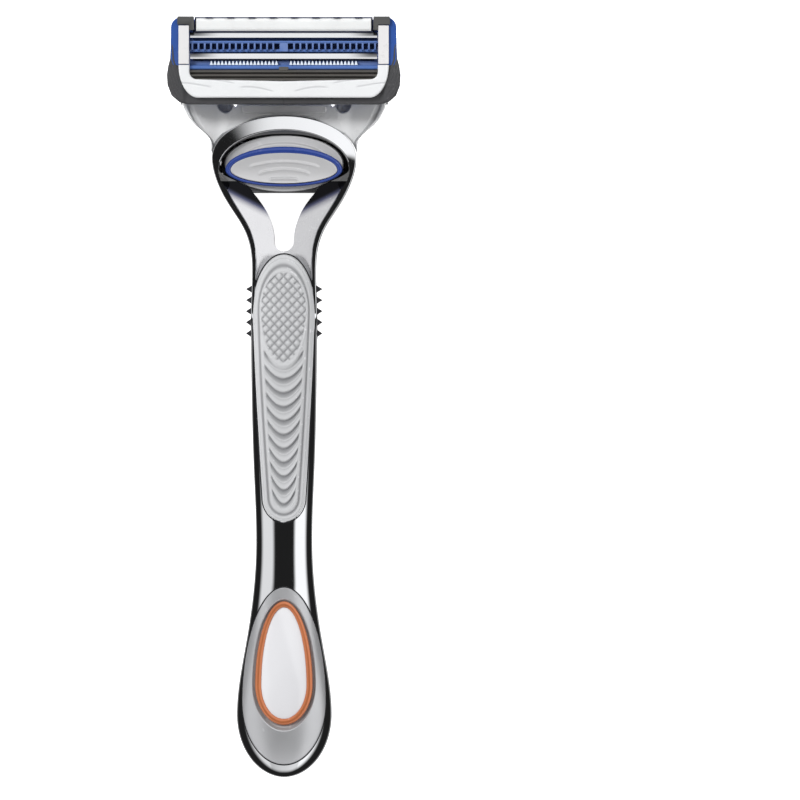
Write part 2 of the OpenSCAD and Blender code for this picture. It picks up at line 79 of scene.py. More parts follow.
def smoothThrough(points):
    # cubic spline through (u, v) points with level ends: second derivatives m solve
    # h0 m0 + 2 (h0 + h1) m1 + h1 m2 = 6 (slope1 - slope0) at each inner point
    u, v = np.array(points, float).T
    h = np.diff(u)
    slope = np.diff(v) / h
    n = len(u)
    a = np.zeros((n, n))
    b = np.zeros(n)
    a[0, :2] = 2 * h[0], h[0]
    b[0] = 6 * slope[0]
    a[-1, -2:] = h[-1], 2 * h[-1]
    b[-1] = -6 * slope[-1]
    i = np.arange(1, n - 1)
    a[i, i - 1] = h[:-1]
    a[i, i] = 2 * (h[:-1] + h[1:])
    a[i, i + 1] = h[1:]
    b[i] = 6 * np.diff(slope)
    m = np.linalg.solve(a, b)

    def value(x):
        x = np.clip(np.asarray(x, float), u[0], u[-1])
        k = np.clip(np.searchsorted(u, x, side="right") - 1, 0, n - 2)
        s = x - u[k]
        r = u[k + 1] - x
        hk = h[k]
        return (
            (m[k] * r**3 + m[k + 1] * s**3) / (6 * hk)
            + (v[k] / hk - m[k] * hk / 6) * r
            + (v[k + 1] / hk - m[k + 1] * hk / 6) * s
        )

    return value


def step(low, high, x):
    # 0 below low, 1 above high, 3t^2 - 2t^3 between
    t = np.clip((np.asarray(x, float) - low) / (high - low), 0, 1)
    return t * t * (3 - 2 * t)


def bump(x, centre, width):
    # bell of height 1: exp(-((x - centre) / width)^2)
    return np.exp(-(((x - centre) / width) ** 2))


def gridFaces(rows, cols, closeRows=False, closeCols=False):
    r = np.arange(rows if closeRows else rows - 1)
    c = np.arange(cols if closeCols else cols - 1)
    a, b = np.meshgrid(r, c, indexing="ij")
    nextA = (a + 1) % rows
    nextB = (b + 1) % cols
    corners = [a * cols + b, a * cols + nextB, nextA * cols + nextB, nextA * cols + b]
    return np.stack(corners, -1).reshape(-1, 4)


def sheetPart(points, closeRows=False, closeCols=False, capRows=False):
    # points[row, col] = (x, y, z); capRows closes the first and last row with a face
    rows, cols = points.shape[:2]
    faces = gridFaces(rows, cols, closeRows, closeCols).tolist()
    if capRows:
        faces.append(list(range(cols)))
        faces.append(list(range(rows * cols - cols, rows * cols)))
    return points.reshape(-1, 3), faces


def prismPart(outline, low, high):
    # an upright wall on a flat outline, closed at both heights
    outline = np.asarray(outline, float)
    rings = np.stack([np.column_stack([outline, np.full(len(outline), z)]) for z in (low, high)])
    return sheetPart(rings, closeCols=True, capRows=True)


def barPart(profile, x0, x1):
    # a (y, z) profile carried along X from x0 to x1
    profile = np.asarray(profile, float)
    rings = np.stack([np.column_stack([np.full(len(profile), x), profile]) for x in (x0, x1)])
    return sheetPart(rings, closeCols=True, capRows=True)


def blockPart(x, y, z):
    return prismPart([[x[0], y[0]], [x[1], y[0]], [x[1], y[1]], [x[0], y[1]]], z[0], z[1])


def mirrorPart(part):
    points, faces = part
    return points * np.array([-1.0, 1.0, 1.0]), [face[::-1] for face in faces]


def bothSides(parts):
    return parts + [mirrorPart(part) for part in parts]


def wholeTurn(n):
    # n even angles round a circle, in radians
    return np.linspace(0, 2 * np.pi, n + 1)[:-1]


def roundPoints(centre, reach, first, last, n):
    # n points of a circle, or of an ellipse with two reaches, between two angles in degrees
    a = np.radians(np.linspace(first, last, n))
    across, up = np.broadcast_to(reach, 2)
    return np.column_stack([centre[0] + across * np.cos(a), centre[1] + up * np.sin(a)])


def circlePoints(centre, radius, n):
    return roundPoints(centre, radius, 0, 360, n + 1)[:-1]


def roundRect(x, y, r, n=5):
    # rectangle with corner radius r, as four quarter circles
    centres = [(x[1] - r, y[1] - r), (x[0] + r, y[1] - r), (x[0] + r, y[0] + r), (x[1] - r, y[0] + r)]
    arcs = [roundPoints(centre, r, 90 * k, 90 * k + 90, n) for k, centre in enumerate(centres)]
    return np.concatenate(arcs)


def pathPoints(points, count):
    # even steps along a polyline
    points = np.array(points, float)
    length = np.concatenate([[0], np.cumsum(np.hypot(*np.diff(points, axis=0).T))])
    s = np.linspace(0, length[-1], count)
    return np.column_stack([np.interp(s, length, points[:, 0]), np.interp(s, length, points[:, 1])])


def eggPoints(half, y0, wideY, y1, angle, grow=0.0):
    # egg: x = half cos a, y = wideY + reach sin a, with its own reach up and down
    up = np.sin(angle) > 0
    reach = np.where(up, y1 - wideY, wideY - y0) + grow
    return (half + grow) * np.cos(angle), wideY + reach * np.sin(angle)


def eggInset(x, y, egg):
    # distance in from an egg's edge, from the scaled radius about its widest place
    half, y0, wideY, y1 = egg
    reach = np.where(y > wideY, y1 - wideY, wideY - y0)
    return (1 - np.hypot(x / half, (y - wideY) / reach)) * half


def platePoints(egg, centreY, rings, around=200):
    # rings of points from a centre on the axis out to an egg; rings are shares from 0 to 1
    r = rings[:, None]
    x, y = eggPoints(*egg, wholeTurn(around)[None, :])
    return x * r, centreY + (y - centreY) * r, r + 0 * x


def closedPlate(x, y, z, depth):
    # the top skin from platePoints, an upright edge down to the depth and a flat base
    top = np.stack([x, y, z], -1)
    base = np.stack([x[-1:], y[-1:], 0 * z[-1:] + depth], -1)
    points, faces = sheetPart(np.concatenate([top, base], 0), closeCols=True)
    faces.append(list(range(len(points) - x.shape[1], len(points))))
    return points, faces


def addObject(name, data):
    made = bpy.data.objects.new(name, data)
    bpy.context.scene.collection.objects.link(made)
    return made


def makePiece(name, parts, look, body, nodes=(), bevel=0.0, sharp=32, merge=True, trim=()):
    # look names the finish; trim holds further (parts, look) pairs that belong to the same piece
    groups = [(parts, look), *trim]
    points = []
    faces = []
    places = []
    start = 0
    for place, group in enumerate(groups):
        for partPoints, partFaces in group[0]:
            points.append(partPoints)
            faces += [[i + start for i in face] for face in partFaces]
            places += [place] * len(partFaces)
            start += len(partPoints)
    points = np.concatenate(points) * mm
    points[:, 1] += buttY
    mesh = bpy.data.meshes.new(name)
    mesh.from_pydata(points.tolist(), [], faces)
    for group in groups:
        mesh.materials.append(finishes[group[1]])
    mesh.polygons.foreach_set("material_index", places)
    made = bmesh.new()
    made.from_mesh(mesh)
    if merge:
        bmesh.ops.remove_doubles(made, verts=made.verts, dist=0.004 * mm)
        bmesh.ops.dissolve_degenerate(made, edges=made.edges, dist=0.001 * mm)
    bmesh.ops.recalc_face_normals(made, faces=made.faces)
    made.to_mesh(mesh)
    made.free()
    mesh.shade_smooth()
    if not bevel:
        mesh.set_sharp_from_angle(angle=np.radians(sharp))
    piece = addObject(name, mesh)
    if bevel:
        edge = piece.modifiers.new("edge", "BEVEL")
        edge.width = bevel * mm
        edge.segments = 3
        edge.limit_method = "ANGLE"
        edge.angle_limit = np.radians(30)
        edge.harden_normals = True
    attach(piece, body)
    if nodes:
        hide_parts(*nodes)
    return piece


# ---- node groups shared by the materials ----


def setInputs(node, values):
    for label, value in values.items():
        node.inputs[label].default_value = value


def feed(tree, socket, value):
    # a fixed value is set on the socket itself, anything else is linked to it
    if isinstance(value, (int, float, tuple)):
        socket.default_value = value
    else:
        tree.links.new(value, socket)


def mathNode(tree, operation, a, b=None, clamp=False):
    node = tree.nodes.new("ShaderNodeMath")
    node.operation = operation
    node.use_clamp = clamp
    for socket, value in zip(node.inputs, (a, b)):
        if value is not None:
            feed(tree, socket, value)
    return node.outputs[0]


def mixNode(tree, factor, a, b, blend="MIX"):
    node = tree.nodes.new("ShaderNodeMix")
    node.data_type = "RGBA"
    node.blend_type = blend
    for label, value in (("Factor", factor), ("A", a), ("B", b)):
        feed(tree, node.inputs[label], value)
    return node.outputs["Result"]


def rampNode(tree, value, low, high, kind="LINEAR"):
    # 0 at low, 1 at high
    node = tree.nodes.new("ShaderNodeMapRange")
    node.interpolation_type = kind
    setInputs(node, {"From Min": low, "From Max": high})
    tree.links.new(value, node.inputs["Value"])
    return node.outputs[0]


def noiseNode(tree, vector, scale, detail):
    noise = tree.nodes.new("ShaderNodeTexNoise")
    noise.inputs["Detail"].default_value = detail
    tree.links.new(vector, noise.inputs["Vector"])
    feed(tree, noise.inputs["Scale"], scale)
    return noise.outputs["Fac"]


def makeFinishGroup():
    # fine grain, broad smudges and pale edges, from the place on the object
    group = bpy.data.node_groups.new("surfaceFinish", "ShaderNodeTree")
    kinds = {"Color": "NodeSocketColor"}
    plain = {
        "Color": (0.5, 0.5, 0.5, 1), "Roughness": 0.3, "Grain Scale": 9000.0,
        "Smudge": 0.05, "Tone": 0.05, "Edge": 0.1,
    }
    for label, value in plain.items():
        kind = kinds.get(label, "NodeSocketFloat")
        group.interface.new_socket(label, in_out="INPUT", socket_type=kind).default_value = value
    for label in ("Color", "Roughness", "Height"):
        kind = kinds.get(label, "NodeSocketFloat")
        group.interface.new_socket(label, in_out="OUTPUT", socket_type=kind)
    given = group.nodes.new("NodeGroupInput").outputs
    out = group.nodes.new("NodeGroupOutput").inputs

    def swing(value, amount):
        # (value - 1/2) times the amount
        return mathNode(group, "MULTIPLY", mathNode(group, "SUBTRACT", value, 0.5), amount)

    place = group.nodes.new("ShaderNodeTexCoord").outputs["Object"]
    grain = noiseNode(group, place, given["Grain Scale"], 4.0)
    broad = noiseNode(group, place, 140.0, 4.0)
    patch = noiseNode(group, place, 420.0, 5.0)
    # roughness = given + smudge (broad patches - 1/2) + a little of the grain
    wide = mathNode(group, "MULTIPLY", swing(patch, given["Smudge"]), 2.0)
    rough = mathNode(group, "ADD", given["Roughness"], wide)
    rough = mathNode(group, "ADD", rough, swing(grain, given["Smudge"]), True)
    group.links.new(rough, out["Roughness"])
    # colour = given, lighter and darker by tone, then paler along worn edges
    shade = group.nodes.new("ShaderNodeHueSaturation")
    tone = mathNode(group, "MULTIPLY", swing(broad, given["Tone"]), 4.0)
    group.links.new(mathNode(group, "ADD", tone, 1.0), shade.inputs["Value"])
    group.links.new(given["Color"], shade.inputs["Color"])
    pointed = group.nodes.new("ShaderNodeNewGeometry").outputs["Pointiness"]
    worn = mathNode(group, "MULTIPLY", rampNode(group, pointed, 0.53, 0.62), given["Edge"], True)
    group.links.new(mixNode(group, worn, shade.outputs[0], (0.9, 0.9, 0.92, 1)), out["Color"])
    group.links.new(grain, out["Height"])
    return group


finishGroup = makeFinishGroup()


def makeMaterial(name, color, roughness, metallic, grain, smudge, tone, edge, grainDepth,
                 coat=0.0, subsurface=0.0, specular=0.5):
    material = bpy.data.materials.new(name)
    material.use_nodes = True
    tree = material.node_tree
    shader = tree.nodes["Principled BSDF"]
    setInputs(shader, {
        "Metallic": metallic, "Coat Weight": coat, "Coat Roughness": 0.06,
        "IOR": 1.45, "Specular IOR Level": specular, "Subsurface Weight": subsurface,
        "Subsurface Radius": (1.0, 0.9, 0.85), "Subsurface Scale": 1.0 * mm,
    })
    finish = tree.nodes.new("ShaderNodeGroup")
    finish.node_tree = finishGroup
    setInputs(finish, {
        "Color": (*color, 1), "Roughness": roughness, "Grain Scale": grain,
        "Smudge": smudge, "Tone": tone, "Edge": edge,
    })
    tree.links.new(finish.outputs["Color"], shader.inputs["Base Color"])
    tree.links.new(finish.outputs["Roughness"], shader.inputs["Roughness"])
    relief = tree.nodes.new("ShaderNodeBump")
    setInputs(relief, {"Strength": 1.0, "Distance": grainDepth * mm})
    tree.links.new(finish.outputs["Height"], relief.inputs["Height"])
    tree.links.new(relief.outputs[0], shader.inputs["Normal"])
    return material


def multiplyPaintedShade(material, stops):
    # painted shade: the colour is multiplied by a run of darker tones that follows the piece's own shade
    # attribute
    tree = material.node_tree
    shader = tree.nodes["Principled BSDF"]
    given = shader.inputs["Base Color"].links[0].from_socket
    shade = tree.nodes.new("ShaderNodeAttribute")
    shade.attribute_name = "shade"
    ramp = tree.nodes.new("ShaderNodeValToRGB")
    ramp.color_ramp.elements[0].color = (1, 1, 1, 1)
    ramp.color_ramp.elements[1].color = (*stops[-1][1], 1)
    for place, color in stops[:-1]:
        ramp.color_ramp.elements.new(place).color = (*color, 1)
    tree.links.new(shade.outputs["Fac"], ramp.inputs["Fac"])
    shaded = mixNode(tree, 1.0, given, ramp.outputs["Color"], "MULTIPLY")
    tree.links.new(shaded, shader.inputs["Base Color"])


def setPaintedShade(piece, value):
    # value(x, y, z) in mm gives the painted shade of every vertex, 0 open to 1 deep
    mesh = piece.data
    place = np.empty(len(mesh.vertices) * 3)
    mesh.vertices.foreach_get("co", place)
    x, y, z = place.reshape(-1, 3).T / mm
    shade = mesh.attributes.new("shade", "FLOAT", "POINT")
    shade.data.foreach_set("value", (value(x, y - buttY / mm, z) + 0 * x).astype(np.float32))


# colour, roughness, metallic, grain, smudge, tone, edge and height of the grain in mm
finishValues = {
    "mirrorChrome": ((0.83, 0.84, 0.86), 0.05, 1.0, 3000, 0.02, 0.01, 0.0, 0.0002),
    "satinSilver": ((0.52, 0.525, 0.54), 0.36, 0.65, 12000, 0.06, 0.02, 0.2, 0.0012),
    "satinArms": ((0.70, 0.70, 0.72), 0.26, 0.9, 12000, 0.05, 0.02, 0.1, 0.0008),
    "capSilver": ((0.52, 0.52, 0.53), 0.32, 0.3, 12000, 0.06, 0.02, 0.15, 0.0012),
    # bezelDarkReflection: dark grey on the chrome bevel is a painted dark reflection
    "bezelDarkReflection": ((0.15, 0.15, 0.15), 0.3, 0.6, 9000, 0.08, 0.05, 0.1, 0.001),
    # shadowLineBlack: near-black for the painted shadow lines along joints
    "shadowLineBlack": ((0.012, 0.012, 0.014), 0.5, 0.0, 8000, 0.1, 0.1, 0.0, 0.002),
    "gripElastomer": ((0.47, 0.475, 0.485), 0.42, 0.0, 7000, 0.1, 0.03, 0.35, 0.002),
    "rearElastomer": ((0.022, 0.022, 0.025), 0.55, 0.0, 6000, 0.1, 0.1, 0.05, 0.004),
    "copperRing": ((0.54, 0.17, 0.065), 0.3, 0.5, 9000, 0.05, 0.05, 0.1, 0.001),
    "pearlWhite": ((0.62, 0.62, 0.64), 0.2, 0.0, 5000, 0.03, 0.02, 0.0, 0.0004),
    "coreBlack": ((0.03, 0.03, 0.034), 0.42, 0.0, 8000, 0.1, 0.1, 0.08, 0.003),
    "plainWhite": ((0.72, 0.72, 0.70), 0.4, 0.0, 8000, 0.08, 0.04, 0.1, 0.002),
    "springWire": ((0.5, 0.5, 0.52), 0.28, 1.0, 9000, 0.08, 0.05, 0.1, 0.001),
    "ringBlue": ((0.022, 0.052, 0.25), 0.26, 0.2, 9000, 0.05, 0.08, 0.03, 0.0012),
    "yokeGrey": ((0.70, 0.705, 0.71), 0.3, 0.1, 9000, 0.08, 0.04, 0.1, 0.002),
    "padGrey": ((0.62, 0.62, 0.63), 0.38, 0.1, 2400, 0.12, 0.12, 0.25, 0.02),
    "cartridgeBlue": ((0.022, 0.07, 0.28), 0.3, 0.0, 9000, 0.08, 0.1, 0.05, 0.002),
    "combBlue": ((0.06, 0.13, 0.36), 0.3, 0.0, 9000, 0.08, 0.08, 0.08, 0.002),
    "combTips": ((0.62, 0.72, 0.86), 0.28, 0.1, 9000, 0.08, 0.05, 0.3, 0.001),
    "charcoalRubber": ((0.05, 0.05, 0.053), 0.5, 0.0, 6000, 0.1, 0.1, 0.03, 0.004),
    "finRubber": ((0.06, 0.056, 0.05), 0.4, 0.0, 6000, 0.1, 0.1, 0.03, 0.004),
    "bumperWhite": ((0.70, 0.71, 0.72), 0.27, 0.0, 7000, 0.05, 0.03, 0.0, 0.001),
    "bladeSteel": ((0.78, 0.79, 0.81), 0.16, 1.0, 15000, 0.08, 0.03, 0.2, 0.0006),
    "supportSteel": ((0.22, 0.22, 0.24), 0.34, 1.0, 9000, 0.1, 0.08, 0.1, 0.002),
    "clipMetal": ((0.68, 0.67, 0.67), 0.30, 0.1, 12000, 0.08, 0.03, 0.15, 0.001),
    "trayBlue": ((0.012, 0.018, 0.06), 0.32, 0.0, 9000, 0.08, 0.08, 0.03, 0.002),
    "stripWhite": ((0.70, 0.71, 0.71), 0.36, 0.0, 2600, 0.12, 0.04, 0.0, 0.006),
    "capGrey": ((0.05, 0.05, 0.048), 0.4, 0.0, 9000, 0.1, 0.06, 0.03, 0.002),
}
finishExtras = {
    "shadowLineBlack": {"specular": 0.2},
    "gripElastomer": {"specular": 0.4},
    "copperRing": {"coat": 0.6},
    "pearlWhite": {"coat": 0.9},
    "ringBlue": {"coat": 0.4},
    "bumperWhite": {"coat": 0.3},
    "stripWhite": {"subsurface": 0.2},
}
# tones of the painted shade attribute: each finish's own colour at 0, then these
paintedShadeTones = {
    # satinArms: grey, blue-black and black are the painted shadow and blue reflection of the button
    "satinArms": [(0.45, (0.5, 0.5, 0.55)), (0.75, (0.12, 0.13, 0.22)), (1.0, (0.01, 0.01, 0.012))],
    "gripElastomer": [(1.0, (0.36, 0.36, 0.37))],
    "bumperWhite": [(1.0, (0.7, 0.7, 0.71))],
    "bladeSteel": [(1.0, (0.06, 0.06, 0.07))],
    "yokeGrey": [(1.0, (0.32, 0.32, 0.33))],
}
finishes = {}
for name, values in finishValues.items():
    finishes[name] = makeMaterial(name, *values, **finishExtras.get(name, {}))
for name, stops in paintedShadeTones.items():
    multiplyPaintedShade(finishes[name], stops)
print("materials made:", len(finishes))


# ---- handle: one chrome body whose neck opens into two arms and a head ring ----

handle = {
    "end": boxOf("handle_frame")[1][1],
    "buttMid": 11.3,
    "ringMid": 111.7,
    "halfWidths": [
        (11.3, 8.58), (25, 6.78), (39.3, 5.15), (56, 5.5), (74, 5.93), (84, 5.93), (91.5, 5.76),
        (95, 6.0), (99.2, 7.4), (103.4, 10.05), (107.7, 12.2), (111.7, 13.0),
    ],
    "fronts": [
        (0, 11.0), (11.3, 11.2), (39.3, 10.6), (62, 13.0), (82, 14.7), (97, 11.4), (105, 10.6), (119.3, 10.6),
    ],
    "rimLine": [(80, 11.3), (88, 11.2), (99, 10.9), (107, 10.6), (119.3, 10.6)],
    "backs": [(0, -0.3), (17, -0.3), (62, 3.6), (106, -0.3), (119.3, -0.3)],
    "power": 2.6,
    "windowLow": 94.9,
    "windowSlot": 1.76,
    "windowTop": (105.6, 5.7),
    "opening": (11.8, 109.6, 7.1),
    "edgeRound": 0.16,
    "rims": [(80, 0.3), (88, 0.42), (95, 0.62), (103, 0.98), (110, 1.0)],
    "ringSlope": 0.118,
    "slopeFrom": (109.0, 114.5),
    "armSlope": 0.42,
    "chamfer": (0.14, 0.62),
    "wall": 1.4,
    "lipZ": 9.2,
    "rimFrom": (78, 84), "openFrom": (80, 84), "leanFrom": (82, 87),
    "crease": (0.2, 0.05), "backRound": 1.5,
    "buttonShadowLine": (103.6, 0.5, 4.6), "buttonShadowRun": (-2.2, 0.2),
    "satinFrom": 85, "satinTo": 111, "bezelFrom": 107.5,
}
ringRise = handle["end"] - handle["ringMid"]
ringHalf = handle["halfWidths"][-1][1]
sideHalf = smoothThrough(handle["halfWidths"])
frontZ = smoothThrough(handle["fronts"])
backZ = smoothThrough(handle["backs"])
rimLine = smoothThrough(handle["rimLine"])


def endFactor(y):
    t = np.clip((handle["buttMid"] - y) / handle["buttMid"], 0, 1)
    return np.sqrt(1 - t * t)


def handleTop(x, y):
    # upper skin: z = mid + h (1 - |x / w|^p)^(1/p), with mid and h from the two profiles
    mid = (frontZ(y) + backZ(y)) / 2
    height = (frontZ(y) - backZ(y)) / 2 * np.sqrt(endFactor(y))
    across = np.clip(np.abs(x) / np.maximum(sideHalf(y) * endFactor(y), 1e-6), 0, 1)
    return mid + height * (1 - across ** handle["power"]) ** (1 / handle["power"])


def handleSide(y, z):
    # outer skin seen from the side: x = w (1 - |(z - mid) / h|^p)^(1/p)
    mid = (frontZ(y) + backZ(y)) / 2
    height = (frontZ(y) - backZ(y)) / 2
    level = np.clip(np.abs(z - mid) / height, 0, 1)
    return sideHalf(y) * (1 - level ** handle["power"]) ** (1 / handle["power"])


def windowHalf(y):
    low, slot = handle["windowLow"], handle["windowSlot"]
    topY, topHalf = handle["windowTop"]
    end = np.clip((y - low) / slot, 0, 1)
    flare = slot + (topHalf - slot) * np.clip((y - low - 2) / (topY - low - 2), 0, 1) ** 2
    return np.where(y < low, 0, np.where(y < low + slot, slot * np.sqrt(1 - (1 - end) ** 2), flare))


# sizes that the pad and the plate share with the pockets cut for them
gripEdge = {"low": 46.0, "top": 94.4, "narrow": (50.5, 3.95), "wide": (84.0, 5.72)}
plateEgg = (7.56, 2.34, 13.7, 34.4)
pocket = {"padDepth": 1.1, "plateDepth": 1.3, "slope": (0.4, 1.0), "fade": (84, 88)}


def gripHalf(y):
    ny, nh = gripEdge["narrow"]
    wy, wh = gripEdge["wide"]
    t = np.clip((y - ny) / (wy - ny), 0, 1)
    side = nh + (wh - nh) * (t + np.sin(np.pi / 2 * t)) / 2
    lowEnd = nh * np.sqrt(np.clip(1 - ((ny - y) / (ny - gripEdge["low"])) ** 2, 0, 1))
    topEnd = wh * np.sqrt(np.clip(1 - ((y - wy) / (gripEdge["top"] - wy)) ** 2, 0, 1))
    return np.where(y < ny, lowEnd, np.where(y > wy, topEnd, side))


def gripInset(x, y):
    # distance from the pad's border in mm, from the scaled radius at the two round ends
    ny, nh = gripEdge["narrow"]
    wy, wh = gripEdge["wide"]
    lowEnd = (1 - np.hypot(x / nh, (y - ny) / (ny - gripEdge["low"]))) * nh
    topEnd = (1 - np.hypot(x / wh, (y - wy) / (gripEdge["top"] - wy))) * wh
    side = gripHalf(y) - np.abs(x)
    return np.where(y < ny, lowEnd, np.where(y > wy, topEnd, side))


def pocketDepth(x, y):
    # how far the skin drops under the pad and the plate, starting a little inside their borders
    pad = step(*pocket["slope"], gripInset(x, y)) * (1 - step(*pocket["fade"], y))
    plate = step(*pocket["slope"], eggInset(x, y, plateEgg))
    return pocket["padDepth"] * pad + pocket["plateDepth"] * plate


def makeHandle():
    openHalf, openY, openRise = handle["opening"]
    # stations: outer point O on the outline and inner point I on the axis, window or ring opening
    butt = handle["buttMid"] * (1 - np.cos(np.linspace(0, np.pi / 2, 44)))
    shaft = np.linspace(handle["buttMid"], handle["windowLow"], 190)[1:]
    slot = handle["windowLow"] + handle["windowSlot"] * (1 - np.cos(np.linspace(0.05, np.pi / 2, 14)))
    arms = np.linspace(slot[-1], handle["windowTop"][0], 40)[1:]
    under = np.linspace(handle["windowTop"][0], openY, 20)[1:]
    side = np.linspace(openY, handle["ringMid"], 10)[1:]
    turn = np.linspace(0, np.pi / 2, 70)[1:]
    y = np.concatenate([butt, shaft, slot, arms, under, side])
    outX = np.concatenate([sideHalf(y) * endFactor(y), ringHalf * np.cos(turn)])
    outY = np.concatenate([y, handle["ringMid"] + ringRise * np.sin(turn)])
    grow = step(handle["windowTop"][0], openY, under)
    first = np.radians(14)
    sideTurn = np.linspace(0, first, 10)[1:]
    ringTurn = first + (np.pi / 2 - first) * turn / (np.pi / 2)
    inX = np.concatenate([
        np.zeros(len(butt) + len(shaft)), windowHalf(slot), windowHalf(arms),
        handle["windowTop"][1] + (openHalf - handle["windowTop"][1]) * grow,
        openHalf * np.cos(sideTurn), openHalf * np.cos(ringTurn),
    ])
    inY = np.concatenate([
        butt, shaft, slot, arms, under,
        openY + openRise * np.sin(sideTurn), openY + openRise * np.sin(ringTurn),
    ])
    opened = np.arange(len(outX)) >= len(butt) + len(shaft) - 1
    ringness = np.concatenate([
        np.zeros(len(butt) + len(shaft) + len(slot) + len(arms)), grow, np.ones(len(side) + len(turn)),
    ])[:, None]

    top = frontZ(outY)[:, None]
    low = backZ(outY)[:, None]
    w = np.maximum(np.hypot(outX - inX, outY - inY), 1e-3)[:, None]
    tall = (top - low) / 2 * np.concatenate([np.sqrt(endFactor(y)), np.ones(len(turn))])[:, None]
    mid = (top + low) / 2

    # closed section: q = w cos^(2/p) a, z = mid + h sin^(2/p) a, from the front centre to the back centre
    marks = np.cumsum([0, 5, 42, 16, 8, 6, 10, 9])
    ends = [4, *marks[2:7], marks[7] - 1]
    a = np.radians(np.interp(np.arange(marks[-1]), ends, [90, 29, 15, 5, -5, -40, -90]))
    qClosed = w * np.abs(np.cos(a)) ** (2 / handle["power"])
    zClosed = mid + tall * np.sign(np.sin(a)) * np.abs(np.sin(a)) ** (2 / handle["power"])

    # open section, outwards from I: chamfer, sloping face, rim, edge, wall, back edge, flat back
    def share(k):
        n = marks[k + 1] - marks[k]
        return np.linspace(0, 1, n, endpoint=False)[None, :]

    lean = step(*handle["leanFrom"], outY)[:, None] * (1 - ringness)
    edge = np.minimum(handle["edgeRound"], 0.3 * w)
    armRim = np.minimum(np.interp(outY, *np.array(handle["rims"]).T)[:, None], 0.3 * w)
    rim = armRim * (1 - ringness) + (w - edge - 0.1) * ringness
    face = w - edge - rim
    drop = face * handle["armSlope"] * lean
    # the bevel round the opening is widest at the top of the ring and fine at its sides
    narrow, wide = handle["chamfer"]
    height = np.clip((outY - handle["ringMid"]) / ringRise, 0, 1)[:, None]
    chamfer = (narrow + (wide - narrow) * height ** 3) * ringness
    tilt = handle["ringSlope"] * ringness * step(*handle["slopeFrom"], outY)[:, None]
    # the rim starts at the closed section's own height and runs nearly level to the ring
    closedRim = mid + tall * (1 - (1 - armRim / w) ** handle["power"]) ** (1 / handle["power"])
    arrive = step(*handle["rimFrom"], outY)[:, None]
    rimTop = closedRim * (1 - arrive) + rimLine(outY)[:, None] * arrive - 0.02
    creaseArm, creaseRing = handle["crease"]
    creaseDrop = creaseArm * lean + creaseRing * ringness

    u = share(0)
    qCham = -chamfer * (1 - u)
    zCham = rimTop - creaseDrop - drop - (0.08 + 0.75 * (1 - u) ** 1.2) * ringness - 0.02
    u = share(1)
    qFace = face * u
    # the face keeps a straight slope and turns up steeply just before the rim
    zFace = rimTop - creaseDrop * (1 - step(-0.16, 0.0, qFace - face)) - drop * (1 - u) ** 1.1
    u = share(2)
    qRim = face + rim * u
    zRim = rimTop - tilt * rim * u
    u = share(3)
    qEdge = face + rim + edge * np.sin(u * np.pi / 2)
    zEdge = rimTop - tilt * rim - edge * (1 - np.cos(u * np.pi / 2))
    u = share(4)
    back = np.minimum(handle["backRound"], 0.5 * w)
    qWall = w + 0 * u
    zWall = (rimTop - tilt * rim - edge) * (1 - u) + (low + back) * u
    u = share(5)
    qBack = w - back * (1 - np.cos(u * np.pi / 2))
    zBack = low + back * (1 - np.sin(u * np.pi / 2))
    hollow = (w - handle["wall"]) * ringness
    u = np.linspace(0, 1, marks[7] - marks[6])[None, :]
    qLow = (w - back) * (1 - u) + np.minimum(hollow, w - back) * u
    zLow = low + 0 * qLow
    qOpen = np.concatenate([qCham, qFace, qRim, qEdge, qWall, qBack, qLow], 1)
    zOpen = np.concatenate([zCham + 0 * qCham, zFace, zRim, zEdge, zWall, zBack, zLow], 1)

    mix = step(*handle["openFrom"], outY)[:, None]
    q = qClosed * (1 - mix) + qOpen * mix
    z = zClosed * (1 - mix) + zOpen * mix

    def place(across, height):
        part = across / w
        return np.stack([
            inX[:, None] + (outX - inX)[:, None] * part,
            inY[:, None] + (outY - inY)[:, None] * part,
            np.maximum(height, 0),
        ], -1)

    skin = place(q, z)
    front = np.arange(marks[-1])[None, :] < marks[4]
    skin[..., 2] -= pocketDepth(skin[..., 0], skin[..., 1]) * front
    # inner wall: down from the chamfer, out under the lip to the ring's thin wall, and down to the back
    lip = handle["lipZ"] - 0.1
    stages = [
        (q[:, :1], z[:, :1]),
        (q[:, :1], z[:, :1] * (1 - ringness) + lip * ringness),
        (np.maximum(hollow, q[:, :1]), z[:, :1] * (1 - ringness) + lip * ringness),
        (np.maximum(hollow, q[:, :1]), 0.5 * (z[:, :1] + z[:, -1:])),
        (q[:, -1:], z[:, -1:]),
    ]
    across, height = [np.concatenate(columns, 1) for columns in zip(*stages)]
    wall = place(across, height)
    half = [sheetPart(skin), sheetPart(wall[opened])]
    made = makePiece("handleFrame", bothSides(half), "mirrorChrome", "handle", ["handle_frame"],
                     sharp=40)
    paintArms(made)


